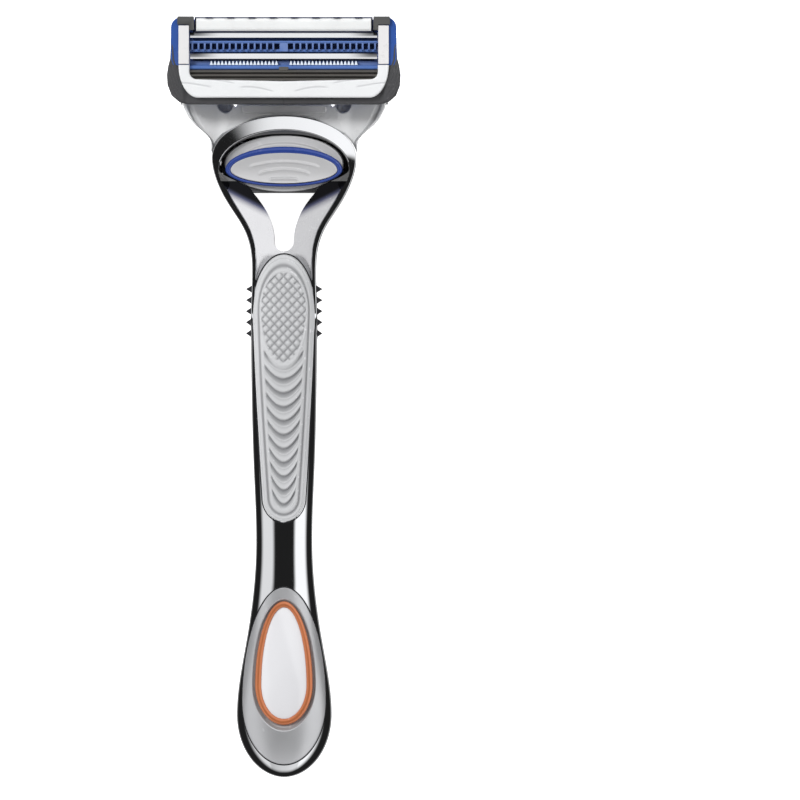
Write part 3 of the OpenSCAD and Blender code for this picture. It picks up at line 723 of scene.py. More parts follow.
def paintArms(made):
    # the sloping inner faces of the arms are satin, and the chrome bevel round the opening is painted dark
    # grey as its dark reflection
    mesh = made.data
    for look in ("satinArms", "bezelDarkReflection"):
        mesh.materials.append(finishes[look])
    count = len(mesh.polygons)
    centre = np.empty(count * 3)
    normal = np.empty(count * 3)
    mesh.polygons.foreach_get("center", centre)
    mesh.polygons.foreach_get("normal", normal)
    centre = centre.reshape(-1, 3) / mm - np.array([0, buttY / mm, 0])
    normal = normal.reshape(-1, 3)
    inward = -np.sign(centre[:, 0]) * normal[:, 0]
    satin = (normal[:, 2] > 0.7) & (inward > 0.08)
    satin = satin & (centre[:, 1] > handle["satinFrom"]) & (centre[:, 1] < handle["satinTo"])
    openHalf, openY, openRise = handle["opening"]
    past = eggInset(centre[:, 0], centre[:, 1], (openHalf, openY - openRise, openY, openY + openRise))
    inside = (past > -0.02) & (centre[:, 2] > handle["lipZ"] - 0.3)
    bezel = inside & (centre[:, 1] > handle["bezelFrom"])
    satin = satin | inside
    mesh.polygons.foreach_set("material_index", np.where(bezel, 2, satin).astype(np.int32))
    lineY, lineRise, lineX = handle["buttonShadowLine"]
    # painted shadow and blue reflection of the button: 0 on the open arm, 1 above a line that slants up from
    # the window to the ring
    buttonShadowRun = handle["buttonShadowRun"]
    setPaintedShade(made, lambda x, y, z: step(*buttonShadowRun, y - lineY - lineRise * (np.abs(x) - lineX)))
    mesh.update()


makeHandle()
print("handle made")


def shadowLineBead(x, y, out, halfWidth, lift):
    # a thin closed bead along a closed line on the handle's skin, moved out by the given distance; in
    # near-black it is a painted shadow line
    ahead = np.stack([np.roll(x, -1) - np.roll(x, 1), np.roll(y, -1) - np.roll(y, 1)])
    ahead = ahead / np.hypot(*ahead)
    cx = x + ahead[1] * out
    cy = y - ahead[0] * out
    rings = []
    for a in wholeTurn(8):
        px = cx + ahead[1] * halfWidth * np.cos(a)
        py = cy - ahead[0] * halfWidth * np.cos(a)
        rings.append(np.stack([px, py, handleTop(px, py) + lift + 0.12 * np.sin(a)], -1))
    return sheetPart(np.stack(rings, 1), closeRows=True, closeCols=True)


# ---- front grip: soft pad with a knurled oval and nested crescents ----

grip = {
    "proud": 0.12, "shadowLine": 0.1, "recessShadeFrom": (0.02, 0.5),
    "oval": (4.2, 74.4, 84.6, 91.2), "ovalRim": 0.1,
    "diamond": (1.62, 1.72), "diamondDepth": 0.42, "knurlPower": 0.7, "knurlSink": 0.36,
    "crescentPitch": 2.5, "crescentFirst": 49.2, "crescentDepth": 0.52, "crescentRise": 2.4,
    "crescentSink": 0.4, "border": 2.05, "grooves": [(1.2, 0.24, 0.34), (0.48, 0.07, 0.1)],
    "edgeRoll": (0.45, 0.55), "depth": 1.2,
}


def gripRelief(x, y):
    inset = gripInset(x, y)
    oval = 1 - eggInset(x, y, grip["oval"]) / grip["oval"][0]
    inside = 1 - step(0.93, 0.99, oval)
    # knurl: |cos| products of two slanting waves leave raised diamonds
    px, py = grip["diamond"]
    knurl = np.abs(np.cos(np.pi * (x / px + y / py)) * np.cos(np.pi * (x / px - y / py)))
    relief = inside * (grip["diamondDepth"] * knurl ** grip["knurlPower"] - grip["knurlSink"])
    relief += grip["ovalRim"] * bump(oval, 1.02, 0.028)
    # crescents: a saw tooth of y less rise (x / half)^2, so each one hangs like a smile
    half = np.maximum(gripHalf(y) - grip["border"], 0.6)
    field = step(grip["border"] - 0.3, grip["border"] + 0.15, inset) * step(1.05, 1.12, oval)
    field = field * step(47.8, 49.2, y - 0.12 * x * x)
    lifted = (y - grip["crescentRise"] * (x / half) ** 2 - grip["crescentFirst"]) / grip["crescentPitch"]
    part = lifted - np.floor(lifted)
    tooth = step(0.0, 0.2, part) * (1 - part)
    second = 0.2 * bump(part, 0.62, 0.06)
    relief += field * (grip["crescentDepth"] * (tooth + second) - grip["crescentSink"])
    for centre, width, depth in grip["grooves"]:
        relief -= depth * bump(inset, centre, width)
    return relief


def makeFrontGrip():
    # rows and columns lie closer together towards the border
    low, top = gripEdge["low"], gripEdge["top"]
    turn = np.linspace(0, np.pi, 520)
    even = (low + top) / 2 - (top - low) / 2 * np.cos(turn)
    y = 0.35 * even + 0.65 * np.linspace(low, top, len(even))
    across = np.sin(np.linspace(-np.pi / 2, np.pi / 2, 150))
    across = 0.5 * across + 0.5 * np.linspace(-1, 1, len(across))
    x = gripHalf(y)[:, None] * across[None, :]
    yy = y[:, None] + 0 * x
    inset = np.clip(gripInset(x, yy), 0, None)
    roll, rollDrop = grip["edgeRoll"]
    fall = 1 - np.sqrt(1 - (1 - np.clip(inset / roll, 0, 1)) ** 2)
    z = handleTop(x, yy) + grip["proud"] + gripRelief(x, yy) * step(0.2, 0.6, inset) - rollDrop * fall
    topSkin = np.stack([x, yy, z], -1)
    under = topSkin[:, ::-1].copy()
    under[..., 2] = under[..., 2].min(axis=1, keepdims=True) - grip["depth"]
    under = under[:, ::6]
    loop = np.concatenate([topSkin, under], 1)
    # painted shadow line: a near-black bead along the joint round the pad
    border = np.concatenate([y, y[-2:0:-1]])
    side = np.concatenate([gripHalf(y), -gripHalf(y[-2:0:-1])])
    shadowLine = shadowLineBead(side, border, 0.02, grip["shadowLine"], -0.04)
    made = makePiece("frontGrip", [sheetPart(loop, closeCols=True)], "gripElastomer", "handle",
                     ["front_grip"], sharp=60, trim=[([shadowLine], "shadowLineBlack")])
    # painted shade: the pad is darkened where its relief sinks, in the grooves, knurl valleys and crescent
    # hollows
    setPaintedShade(made, lambda px, py, pz: step(*grip["recessShadeFrom"], -gripRelief(px, py)))


makeFrontGrip()

# ---- rear grip: ribbed oval on the back and a strip with five points up each side ----

rearGrip = {
    "low": 50.0, "wide": 76.0, "top": 93.0, "half": 4.6, "proud": 0.12,
    "ribs": 5, "firstRib": 80.1, "ribPitch": 2.0, "ribTip": 6.9, "ribZ": (2.6, 8.7),
    "stripY": (78.7, 89.6), "grooveDepth": 0.16, "groovePitch": 2.2, "stripDepth": 1.2,
}


def makeRearGrip():
    y = np.linspace(rearGrip["low"], rearGrip["top"], 260)
    mid = rearGrip["wide"]
    reach = np.where(y > mid, rearGrip["top"] - mid, mid - rearGrip["low"])
    half = rearGrip["half"] * np.sqrt(np.clip(1 - ((y - mid) / reach) ** 2, 0, 1))
    across = np.sin(np.linspace(-np.pi / 2, np.pi / 2, 60))
    x = half[:, None] * across[None, :]
    yy = y[:, None] + 0 * x
    inset = half[:, None] - np.abs(x)
    mirrored = frontZ(yy) + backZ(yy) - handleTop(x, yy)
    wave = np.abs(np.sin(np.pi * (yy + 0.12 * x * x) / rearGrip["groovePitch"])) ** 0.6
    grooves = rearGrip["grooveDepth"] * wave * step(0.6, 1.0, inset)
    z = mirrored - rearGrip["proud"] - grooves + 0.5 * (1 - step(0, 0.4, inset))
    skin = np.stack([x, yy, np.maximum(z, 0.02)], -1)
    cover = skin[:, ::-1].copy()[:, ::4]
    cover[..., 2] = cover[..., 2].max(axis=1, keepdims=True) + 0.9
    parts = [sheetPart(np.concatenate([skin, cover], 1), closeCols=True)]

    # side strip: x = skin of the handle + triangular ribs, over (y, z)
    y = np.linspace(*rearGrip["stripY"], 221)
    ribLow, ribHigh = rearGrip["ribZ"]
    z = np.linspace(ribLow - 0.8, ribHigh + 0.5, 46)
    yy, zz = np.meshgrid(y, z, indexing="ij")
    base = handleSide(yy, zz)
    place = (yy - rearGrip["firstRib"]) / rearGrip["ribPitch"]
    near = np.clip(np.round(place), 0, rearGrip["ribs"] - 1)
    tooth = np.clip(1 - np.abs(place - near) / 0.32, 0, 1)
    taper = step(0, 1.1, zz - ribLow) * step(0, 1.1, ribHigh - zz)
    rise = rearGrip["ribTip"] - sideHalf(yy)
    edge = np.minimum.reduce([yy - y[0], y[-1] - yy, zz - z[0], z[-1] - zz])
    out = base - 0.25 + 0.3 * step(0, 0.35, edge) + rise * tooth * taper
    outer = np.stack([out, yy, zz], -1)
    inner = outer[:, ::-1].copy()[:, ::5]
    inner[..., 0] = outer[..., 0].min() - rearGrip["stripDepth"]
    strip = sheetPart(np.concatenate([outer, inner], 1), closeCols=True, capRows=True)
    parts += bothSides([strip])
    makePiece("rearGrip", parts, "rearElastomer", "handle", ["rear_grip"], sharp=40)


makeRearGrip()
print("grips made")

# ---- butt: satin plate, copper ring and domed badge ----

butt = {
    "recess": (5.65, 8.6, 16.8, 32.2), "bevel": (0.5, 0.5),
    "plateProud": 0.14, "plateEdge": 0.9, "shadowLine": 0.09,
    "ring": (4.62, 10.15, 16.8, 31.3), "ringWidths": (0.56, 0.0), "ringHeight": 0.34, "ringBase": -0.06,
    "badge": (4.3, 10.5, 16.8, 30.95), "badgeMid": 20.5, "badgeEdge": 0.6, "dome": (-0.2, 0.55, 0.3),
}


def makeButtPlate():
    # rings from the outer edge over the plate, down a bevel and across the floor of the recess
    a = wholeTurn(240)
    outX, outY = eggPoints(*plateEgg, a)
    inX, inY = eggPoints(*butt["recess"], a)
    t = (0.5 - 0.5 * np.cos(np.linspace(0, np.pi, 44)))[:, None]
    x = outX * (1 - t) + inX * t
    y = outY * (1 - t) + inY * t
    width = np.hypot(outX - inX, outY - inY)
    fromOut = t * width
    fromIn = (1 - t) * width
    lift = butt["plateProud"] - 0.25 * (1 - step(0, 0.25, fromOut)) ** 2 - 0.1 * (1 - step(0, 0.2, fromIn))
    z = handleTop(x, y) + lift
    skirt = np.stack([x[:1], y[:1], z[:1] - butt["plateEdge"]], -1)
    shrink, fall = butt["bevel"]
    s = np.linspace(0, 1, 8)[1:, None]
    bx, by = np.stack([eggPoints(*butt["recess"], a, grow=-shrink * k) for k in s[:, 0]], 1)
    bz = handleTop(bx, by) + butt["plateProud"] - 0.1 - fall * s ** 0.8
    r = np.linspace(1, 0, 6)[1:, None]
    fx, fy = bx[-1:] * r, 20 + (by[-1:] - 20) * r
    fz = bz[-1:] - 0.12 + 0 * fx
    rings = [np.stack(part, -1) for part in ((x, y, z), (bx, by, bz), (fx, fy, fz))]
    points = np.concatenate([skirt, *rings])
    # painted shadow line: a near-black bead round the plate's edge
    shadowLine = shadowLineBead(outX, outY, 0.02, butt["shadowLine"], 0.0)
    makePiece("buttPlate", [sheetPart(points, closeCols=True)], "satinSilver", "handle", ["butt_plate"],
              sharp=50, trim=[([shadowLine], "shadowLineBlack")])


def eggBand(name, egg, widths, height, base, look, body, nodes, skin):
    # a rounded band along an egg: half widths (at the sides, added at the top), raised above the skin
    a = wholeTurn(240)
    halfWidth = widths[0] + widths[1] * np.sin(a)
    rings = []
    for turn in wholeTurn(24):
        x, y = eggPoints(*egg, a, grow=halfWidth * np.cos(turn))
        rings.append(np.stack([x, y, skin(x, y) + base + height * np.sin(turn)], -1))
    band = sheetPart(np.stack(rings, 1), closeRows=True, closeCols=True)
    makePiece(name, [band], look, body, nodes, sharp=60)


def makeBadge():
    x, y, r = platePoints(butt["badge"], butt["badgeMid"], np.sin(np.linspace(0, np.pi / 2, 40)), 180)
    # dome: z = skin + sink + rise (1 - r^2) + edge (1 - r^3)^(1/2)
    sink, rise, edge = butt["dome"]
    z = handleTop(0 * x, y) + sink + rise * (1 - r ** 2) + edge * np.sqrt(np.clip(1 - r ** 3, 0, 1))
    badge = closedPlate(x, y, z, z[-1:] - butt["badgeEdge"])
    makePiece("badge", [badge], "pearlWhite", "handle", ["badge"], sharp=60)


makeButtPlate()
eggBand("badgeRing", butt["ring"], butt["ringWidths"], butt["ringHeight"], butt["ringBase"], "copperRing",
        "handle", ["badge_ring"], lambda x, y: handleTop(0 * x, y))
makeBadge()
print("butt made")

# ---- release button: dished carrier, blue ring and thumb cap ----

button = {
    "mid": 109.6, "edge": 0.97,
    "carrier": (10.75, 105.65, 110.6, 115.85), "carrierZ": (7.65, 8.35),
    "prongEnd": boxOf("button_carrier")[1][1],
    "ring": (10.08, 106.75, 109.5, 113.05), "ringWidths": (0.48, 0.22), "ringHeight": 0.45, "ringZ": 9.6,
    "cap": (9.62, 107.1, 109.5, 112.6), "capZ": 9.75, "capBase": 8.9,
    "bars": [(6.6, 110.95, 1.0), (4.8, 109.6, 0.8), (2.7, 108.0, 0.12)], "barRise": 0.26, "barWidth": 0.27,
}


def edgeFall(r):
    # 0 up to the edge's share of the way out, then a quarter round down to 1
    share = button["edge"]
    return 1 - np.sqrt(1 - np.clip((r - share) / (1 - share), 0, 1) ** 2)


def makeButton():
    low, high = button["carrierZ"]
    x, y, r = platePoints(button["carrier"], button["mid"], np.linspace(0, 1, 50))
    z = high + 0.75 - 0.25 * r ** 2 + 0.4 * step(0.8, 0.74, r) - 0.3 * edgeFall(r)
    # on each side the root of a prong, the prong, and a foot for the spring
    legs = [
        blockPart((3.0, 5.0), (108, 110.5), (4.2, 7.7)),
        blockPart((3.0, 5.0), (110.4, button["prongEnd"]), (4.2, 6.0)),
        blockPart((6.7, 8.5), (107.6, 108.8), (4.8, 7.7)),
    ]
    makePiece("buttonCarrier", [closedPlate(x, y, z, low)] + bothSides(legs), "capSilver", "button",
              ["button_carrier"], sharp=45)
    eggBand("buttonRing", button["ring"], button["ringWidths"], button["ringHeight"], button["ringZ"],
            "ringBlue", "button", ["button_ring"], lambda px, py: 0 * px)
    x, y, r = platePoints(button["cap"], button["mid"], np.linspace(0, 1, 90))
    # cap: a shallow dish with three curved bars that fade out at their ends
    z = button["capZ"] + 0.35 * r ** 2 - 0.25 * edgeFall(r)
    for half, barY, sag in button["bars"]:
        line = barY - sag * (x / half) ** 2
        fade = 1 - step(0.82, 1.0, np.abs(x) / half)
        z = z + button["barRise"] * bump(y, line, button["barWidth"]) * fade
    makePiece("buttonCap", [closedPlate(x, y, z, button["capBase"])], "capSilver", "button", ["button_cap"],
              sharp=60)


makeButton()

rearCover = {"outline": (11.55, 105.6, 110.2, 116.6), "mid": 110.5, "low": 0.12, "top": 2.4}


def makeRearCover():
    # flat plate that closes the head at the back, with a shallow moulded step
    x, y, r = platePoints(rearCover["outline"], rearCover["mid"], np.linspace(0, 1, 30), 160)
    groove = 0.25 * step(0.8, 0.86, r) * (1 - step(0.9, 0.95, r))
    z = rearCover["low"] + groove + 0.3 * step(0.97, 1.0, r)
    makePiece("rearCover", [closedPlate(x, y, z, rearCover["top"])], "coreBlack", "handle", ["rear_cover"],
              sharp=60)


makeRearCover()
print("button and cover made")

# ---- connector: two arms that rise from the ring to the pivot pins ----

yoke = {
    "gap": 0.2, "top": 7.5, "low": 1.85,
    "outer": [
        (0, 124.2), (6.9, 124.2), (7.9, 122.2), (8.75, 120.95), (9.7, 121.9), (10.6, 124.2),
        (18.5, 124.2), (18.75, 123.2), (18.2, 120.9), (17.3, 119.1), (16.2, 117.8), (14.6, 116.6),
        (13.5, 115.5), (13.22, 114.3), (13.2, 113.1),
    ],
    "lobe": (10.6, 121.9, (1.65, 2.1)), "rib": (1.0, 0.8), "ribFrom": (9.5, 12.5),
    "postX": (17.35, 18.8), "postHalf": 1.4, "pinX": (14.7, 17.4), "pinRadius": 1.05,
    "pad": ((-7.65, 7.65), (119.8, 121.3), 0.7, 7), "padZ": (7.0, 8.1),
}


def makeYoke():
    pivot = [j for j in frame["joints"] if j["name"] == "cartridge_pivot"][0]["pos_m"]
    pivotY, pivotZ = (pivot[1] - buttY) / mm, pivot[2] / mm
    # inner edge: the head ring grown by the gap; outer edge: the arm's outline; straight lines join them
    ox, oy = pathPoints(yoke["outer"], 320).T
    reach = np.interp(ox, [0, 18.8], [90, 35])
    ring = np.where(oy > 121, reach, np.interp(oy, [113.1, 121], [8, 35]))
    order = np.minimum.accumulate(np.radians(ring))
    ix = (ringHalf + yoke["gap"]) * np.cos(order)
    iy = handle["ringMid"] + (ringRise + yoke["gap"]) * np.sin(order)
    t = np.concatenate([[0], np.linspace(0, 1, 60), [1]])[None, :]
    x = ix[:, None] * (1 - t) + ox[:, None] * t
    y = iy[:, None] * (1 - t) + oy[:, None] * t
    width = np.hypot(ox - ix, oy - iy)[:, None]
    fromOut = (1 - t) * width
    fromIn = t * width
    lx, ly, lr = yoke["lobe"]
    rib, ribRise = yoke["rib"]
    groove = ribRise * step(rib, rib + 0.25, fromOut) - 0.3 * step(rib + 0.6, rib + 2.4, fromOut)
    top = yoke["top"] - groove * step(*yoke["ribFrom"], x)
    top = top - 1.5 * (1 - step(0.85, 1.02, np.hypot((x - lx) / lr[0], (y - ly) / lr[1])))
    z = top - 0.35 * (1 - step(0, 0.3, fromOut)) - 0.3 * (1 - step(0, 0.3, fromIn))
    z[:, [0, -1]] = yoke["low"]
    skin = np.stack([x, y, z], -1)
    half = [sheetPart(skin, closeCols=True)]
    # a post with the pivot pin, and the foot that joins it to the arm
    grow = yoke["postHalf"]
    post = roundRect((pivotY - grow, pivotY + grow), (3.5, pivotZ + grow), 1.35, 8)
    half.append(barPart(post, *yoke["postX"]))
    half.append(barPart(circlePoints((pivotY, pivotZ), yoke["pinRadius"], 32), *yoke["pinX"]))
    half.append(blockPart((16.8, 18.75), (121.5, pivotY + 1.2), (2.2, 5.5)))
    made = makePiece("yoke", bothSides(half), "yokeGrey", "connector", ["yoke"], sharp=40)
    # painted shade: faces lower than the arm's top, above 4 mm, are darkened, in the groove and the hollow by
    # the lobe
    shadeBelowZ = yoke["top"] - 0.25
    setPaintedShade(made, lambda px, py, pz: 0.8 * step(0, 1.2, shadeBelowZ - pz) * (pz > 4))
    pad = prismPart(roundRect(*yoke["pad"]), *yoke["padZ"])
    makePiece("yokePad", [pad], "padGrey", "connector", (), bevel=0.28)


makeYoke()
print("connector made")

# ---- cartridge: frame, rim, blades and comb, each as a band, bars or blocks ----

# heights of the shaving face and the frame, and half the width of the bay
cartridge = {"face": 14.3, "frameTop": 14.9, "halfBay": 16.9}
bayX = (-cartridge["halfBay"], cartridge["halfBay"])


def ruledBand(inner, outer, topZ, lowZ, edge, relief, across):
    # straight lines from inner to outer edge, with both edges rounded down
    t = np.concatenate([[0], np.linspace(0, 1, across), [1]])[None, :]
    x = inner[:, :1] * (1 - t) + outer[:, :1] * t
    y = inner[:, 1:] * (1 - t) + outer[:, 1:] * t
    width = np.hypot(*(outer - inner).T)[:, None]
    nearest = np.minimum(t, 1 - t) * width
    fall = edge * (1 - np.sqrt(1 - (1 - np.clip(nearest / edge, 0, 1)) ** 2))
    z = topZ - fall + relief(x, y, t + 0 * x, width)
    z[:, [0, -1]] = lowZ
    return sheetPart(np.stack([x, y, z], -1), closeCols=True, capRows=True)


bumper = {
    # each edge: start on the axis, centre and reach of the corner, end
    "inner": [(0, 125.35), (15.55, 127.0), (1.35, 1.3), (16.9, 128.25)],
    "outer": [(0, 122.4), (15.4, 128.25), (3.5, 5.85), (18.9, 128.25)],
    "low": 12.2, "edge": 0.32,
    # flowing lines: start, height and reach of each sine curve
    "waves": [(1.5, 123.4, 3.2), (8.5, 124.9, 4.2), (12.6, 124.2, 4.6)],
    "waveDepth": 0.07, "waveWidth": 0.13, "waveSwing": 0.9,
}


def bumperEdge(start, centre, reach, end):
    corner = roundPoints(centre, reach, -90, 0, 14)
    return pathPoints(np.concatenate([[start], corner, [end]]), 240)


def bumperWaves(x, y, t=0, width=0):
    # shallow flowing lines: fine grooves along sine curves, none near the ends
    depth = 0
    for start, lift, reach in bumper["waves"]:
        curve = lift + bumper["waveSwing"] * np.sin((x - start) / reach)
        along = step(start, start + 1.0, x) * (1 - step(start + 5.5, start + 7, x))
        depth = depth + bumper["waveDepth"] * bump(y, curve, bumper["waveWidth"]) * along
    return -depth


def makeBumper():
    edges = [bumperEdge(*bumper[side]) for side in ("inner", "outer")]
    half = ruledBand(*edges, cartridge["frameTop"], bumper["low"], bumper["edge"], bumperWaves, 26)
    made = makePiece("frontBumper", bothSides([half]), "bumperWhite", "cartridge", ["front_bumper"],
                     sharp=50)
    # painted shade: the bumper is darkened along its wave grooves
    setPaintedShade(made, lambda x, y, z: -bumperWaves(np.abs(x), y) / bumper["waveDepth"])


softRim = {
    "inner": [
        (0, 122.38), (15.4, 122.5), (16.8, 123.4), (17.9, 125.2), (18.5, 126.9), (18.88, 128.1),
        (19.3, 129.4), (19.45, 131.2), (19.8, 133.1),
    ],
    "outer": [
        (0, 121.3), (17.4, 121.3), (18.9, 121.75), (20.2, 122.9), (20.9, 124.7), (21.0, 126.6),
        (20.75, 128.2), (20.42, 129.4), (20.33, 131.4), (20.3, 133.2),
    ],
    "top": 14.35, "low": 9.7, "edge": 0.5, "lineDepth": 0.14, "linePitch": 0.55, "frontDrop": 0.8,
}


def rimLines(x, y, t, width):
    # fine grip lines along the wing, none on the lower strip under the bumper
    lines = step(18, 19, x) * np.abs(np.sin(np.pi * t * width / softRim["linePitch"])) ** 2
    return -softRim["lineDepth"] * lines - softRim["frontDrop"] * (1 - step(17.2, 18.6, x))


def makeSoftRim():
    edges = [pathPoints(softRim[side], 200) for side in ("inner", "outer")]
    half = ruledBand(*edges, softRim["top"], softRim["low"], softRim["edge"], rimLines, 34)
    makePiece("softRim", bothSides([half]), "charcoalRubber", "cartridge", ["soft_rim"],
              sharp=60)


clips = {
    "bar": ((17.0, 18.88), (128.42, 135.35), 0.12),
    "leg": ((17.1, 18.8), (128.42, 128.9), (12.6, 14.35)),
}


def makeClips():
    bar = prismPart(roundRect(*clips["bar"]), cartridge["face"], cartridge["frameTop"])
    makePiece("bladeClips", bothSides([bar, blockPart(*clips["leg"])]), "clipMetal", "cartridge",
              ["blade_clips"], bevel=0.12)


housing = {
    "shellEdge": 20.27, "shellTop": 136.9, "corner": 1.9, "shellZ": (12.0, 14.25),
    # on both sides: the shell's foot and the end wall
    "sides": [
        ((16.95, 19.5), (131, 136.3), (9.45, 12.05)),
        ((16.3, 16.93), (122.5, 136.6), (9.45, 12.7)),
    ],
    # across the middle: floor in four steps, the post of the guard and the bed of the tray
    "floors": [
        (bayX, (122.5, 128.1), (9.4, 12.2)),
        (bayX, (128.0, 129.75), (9.4, 10.2)),
        (bayX, (130.4, 136.6), (9.4, 11.0)),
        (bayX, (129.7, 130.45), (9.4, 9.9)),
        ((-0.75, 0.75), (131, 132.3), (10.9, 12.7)),
        ((-16.0, 16.0), (134.5, 136.6), (10.9, 12.7)),
    ],
    "ribs": (15.2, 3.8, 0.3, (127.9, 134.2), (8.9, 9.5)),
    "lug": ((125.3, 10.2), 2.2, 48), "lugX": (14.6, 16.9),
    "cam": ((124.7, 6.7), 1.0, 165, 350, 16), "camFoot": [(126.2, 9.8), (124.0, 9.8)], "camHalf": 1.4,
}


def ribBlocks(last, pitch, halfWidth, y, z):
    # even blocks from one side to the other
    return [blockPart((x - halfWidth, x + halfWidth), y, z) for x in np.arange(-last, last + 0.1, pitch)]


def makeHousing():
    # blue moulding: floor, end walls, side shells with round corners, lugs, cam and ribs on the back
    edge, top, corner = housing["shellEdge"], housing["shellTop"], housing["corner"]
    bend = roundPoints((edge - corner, top - corner), corner, 0, 90, 9)
    shell = np.concatenate([[[16.95, 128.2], [19.9, 128.2], [edge, 129.2]], bend, [[16.95, top]]])
    half = [prismPart(shell, *housing["shellZ"])] + [blockPart(*row) for row in housing["sides"]]
    half.append(barPart(circlePoints(*housing["lug"]), *housing["lugX"]))
    whole = [blockPart(*row) for row in housing["floors"]] + ribBlocks(*housing["ribs"])
    cam = np.concatenate([roundPoints(*housing["cam"]), housing["camFoot"]])
    whole.append(barPart(cam, -housing["camHalf"], housing["camHalf"]))
    makePiece("cartridgeHousing", bothSides(half) + whole, "cartridgeBlue", "cartridge",
              ["cartridge_housing"], bevel=0.12, merge=False)


blade = {
    "tilt": 22, "halfLength": 16.8, "below": 0.15, "darkX": (11.0, 16.0), "darkY": (0.15, 0.5),
    # along and up from the cutting edge: two ground facets, then the flat strip
    "profile": [
        (0.0, -0.03), (0.12, 0.0), (0.4, 0.02), (1.0, 0.02), (1.0, -0.1), (0.3, -0.1), (0.05, -0.05),
    ],
    "edges": {"lower": 129.4, "upper": 133.2},
}


def makeBlade(side, edgeY):
    # thin strip tilted down from its cutting edge
    tilt = np.radians(blade["tilt"])
    along, up = np.array(blade["profile"]).T
    y = edgeY + (along * np.cos(tilt) + up * np.sin(tilt))
    z = cartridge["face"] - blade["below"] + (up * np.cos(tilt) - along * np.sin(tilt))
    stations = np.linspace(-blade["halfLength"], blade["halfLength"], 85)
    rings = np.stack([np.column_stack([np.full(len(y), x), y, z]) for x in stations])
    node = side + "_blade"
    made = makePiece(side + "Blade", [sheetPart(rings, closeCols=True, capRows=True)], "bladeSteel",
                     node + "_unit", [node], sharp=3)
    # painted dark reflection: the steel's colour is darkened towards both ends, behind the cutting edge
    setPaintedShade(made, lambda px, py, pz: step(*blade["darkX"], np.abs(px)) * step(*blade["darkY"], py - edgeY))


guard = {
    # profiles of the rails in front of the upper blade and behind the lower one
    "rails": [
        [(132.15, 12.7), (132.62, 12.7), (132.62, 13.95), (132.4, 14.05), (132.15, 13.9)],
        [(130.62, 12.6), (131.15, 12.6), (131.15, 13.25), (130.75, 13.4), (130.62, 13.3)],
    ],
    "post": ((-0.75, 0.75), (130.7, 132.3), (12.7, 13.95)),
    "teeth": 14, "firstTooth": 0.75, "pitch": 1.12, "toothHalf": 0.17,
    "toothY": (132.3, 130.85), "toothZ": (12.9, 13.95), "nose": -0.3,
}


def makeGuard():
    # each tooth's (y, z) profile has a round nose towards the lower blade
    (y0, y1), (z0, z1), nose = guard["toothY"], guard["toothZ"], guard["nose"]
    tip = roundPoints((y1 - nose, (z0 + z1) / 2), (nose, (z1 - z0) / 2), -90, 90, 6)
    profile = np.concatenate([[[y0, z0]], tip, [[y0, z1]]])
    teeth = []
    for i in range(1, guard["teeth"] + 1):
        x = guard["firstTooth"] + guard["pitch"] * i
        teeth.append(barPart(profile, x - guard["toothHalf"], x + guard["toothHalf"]))
    rails = [barPart(rail, *bayX) for rail in guard["rails"]]
    makePiece("middleGuard", rails + [blockPart(*guard["post"])] + bothSides(teeth), "combBlue", "cartridge",
              ["middle_guard"], bevel=0.05, merge=False)


comb = {
    "rail": [(127.5, 12.2), (128.2, 12.2), (128.25, 13.7), (128.0, 14.0), (127.7, 14.0), (127.5, 13.8)],
    "shelf": (bayX, (128.2, 129.05), (12.4, 12.9)),
    "teeth": (2, 21), "pitch": 0.65,
    "toothY": (128.3, 129.0), "toothHalf": (0.29, 0.06), "toothZ": (13.1, 13.85),
}


def makeLowerComb():
    body = [barPart(comb["rail"], *bayX), blockPart(*comb["shelf"])]
    makePiece("lowerComb", body, "combBlue", "cartridge", ["lower_comb"], bevel=0.08,
              merge=False)
    root, tip = comb["toothY"]
    rootHalf, tipHalf = comb["toothHalf"]
    tooth = np.array([(-rootHalf, root), (rootHalf, root), (tipHalf, tip), (-tipHalf, tip)])
    teeth = [prismPart(tooth + (comb["pitch"] * i, 0), *comb["toothZ"]) for i in range(*comb["teeth"])]
    makePiece("combTeeth", bothSides(teeth), "combTips", "cartridge", (), merge=False)


fins = {
    "y": (125.3, 127.5), "low": 12.2, "base": 13.35, "height": 0.75, "pitch": 0.733, "halfLength": 16.85,
    "nub": ((-0.85, 0.85), (127.3, 127.95), (13.6, 14.12)),
}


def makeFins():
    # three soft ridges: z = base + height |sin|^0.7
    first, last = fins["y"]
    y = np.linspace(first, last, 61)
    z = fins["base"] + fins["height"] * np.abs(np.sin(np.pi * (y - first) / fins["pitch"])) ** 0.7
    profile = np.concatenate([np.column_stack([y, z]), [[last, fins["low"]], [first, fins["low"]]]])
    ridges = barPart(profile, -fins["halfLength"], fins["halfLength"])
    makePiece("rubberFins", [ridges, blockPart(*fins["nub"])], "finRubber", "cartridge", ["rubber_fins"],
              sharp=50)


strip = {
    "tray": [
        (134.15, 12.6), (136.9, 12.6), (136.9, 14.2), (136.68, 14.2), (136.68, 13.3), (134.35, 13.3),
        (134.35, 14.05), (134.15, 13.95),
    ],
    "trayHalf": 16.0, "tabs": (13.4, 3.83, 0.7, (136.7, 136.92), (13.9, 14.7)),
    "y": (134.38, 136.66), "low": 13.3, "top": 14.55, "roundDrop": 0.35, "lineDepth": 0.02, "linePitch": 0.38,
    "halfLength": 15.7,
}


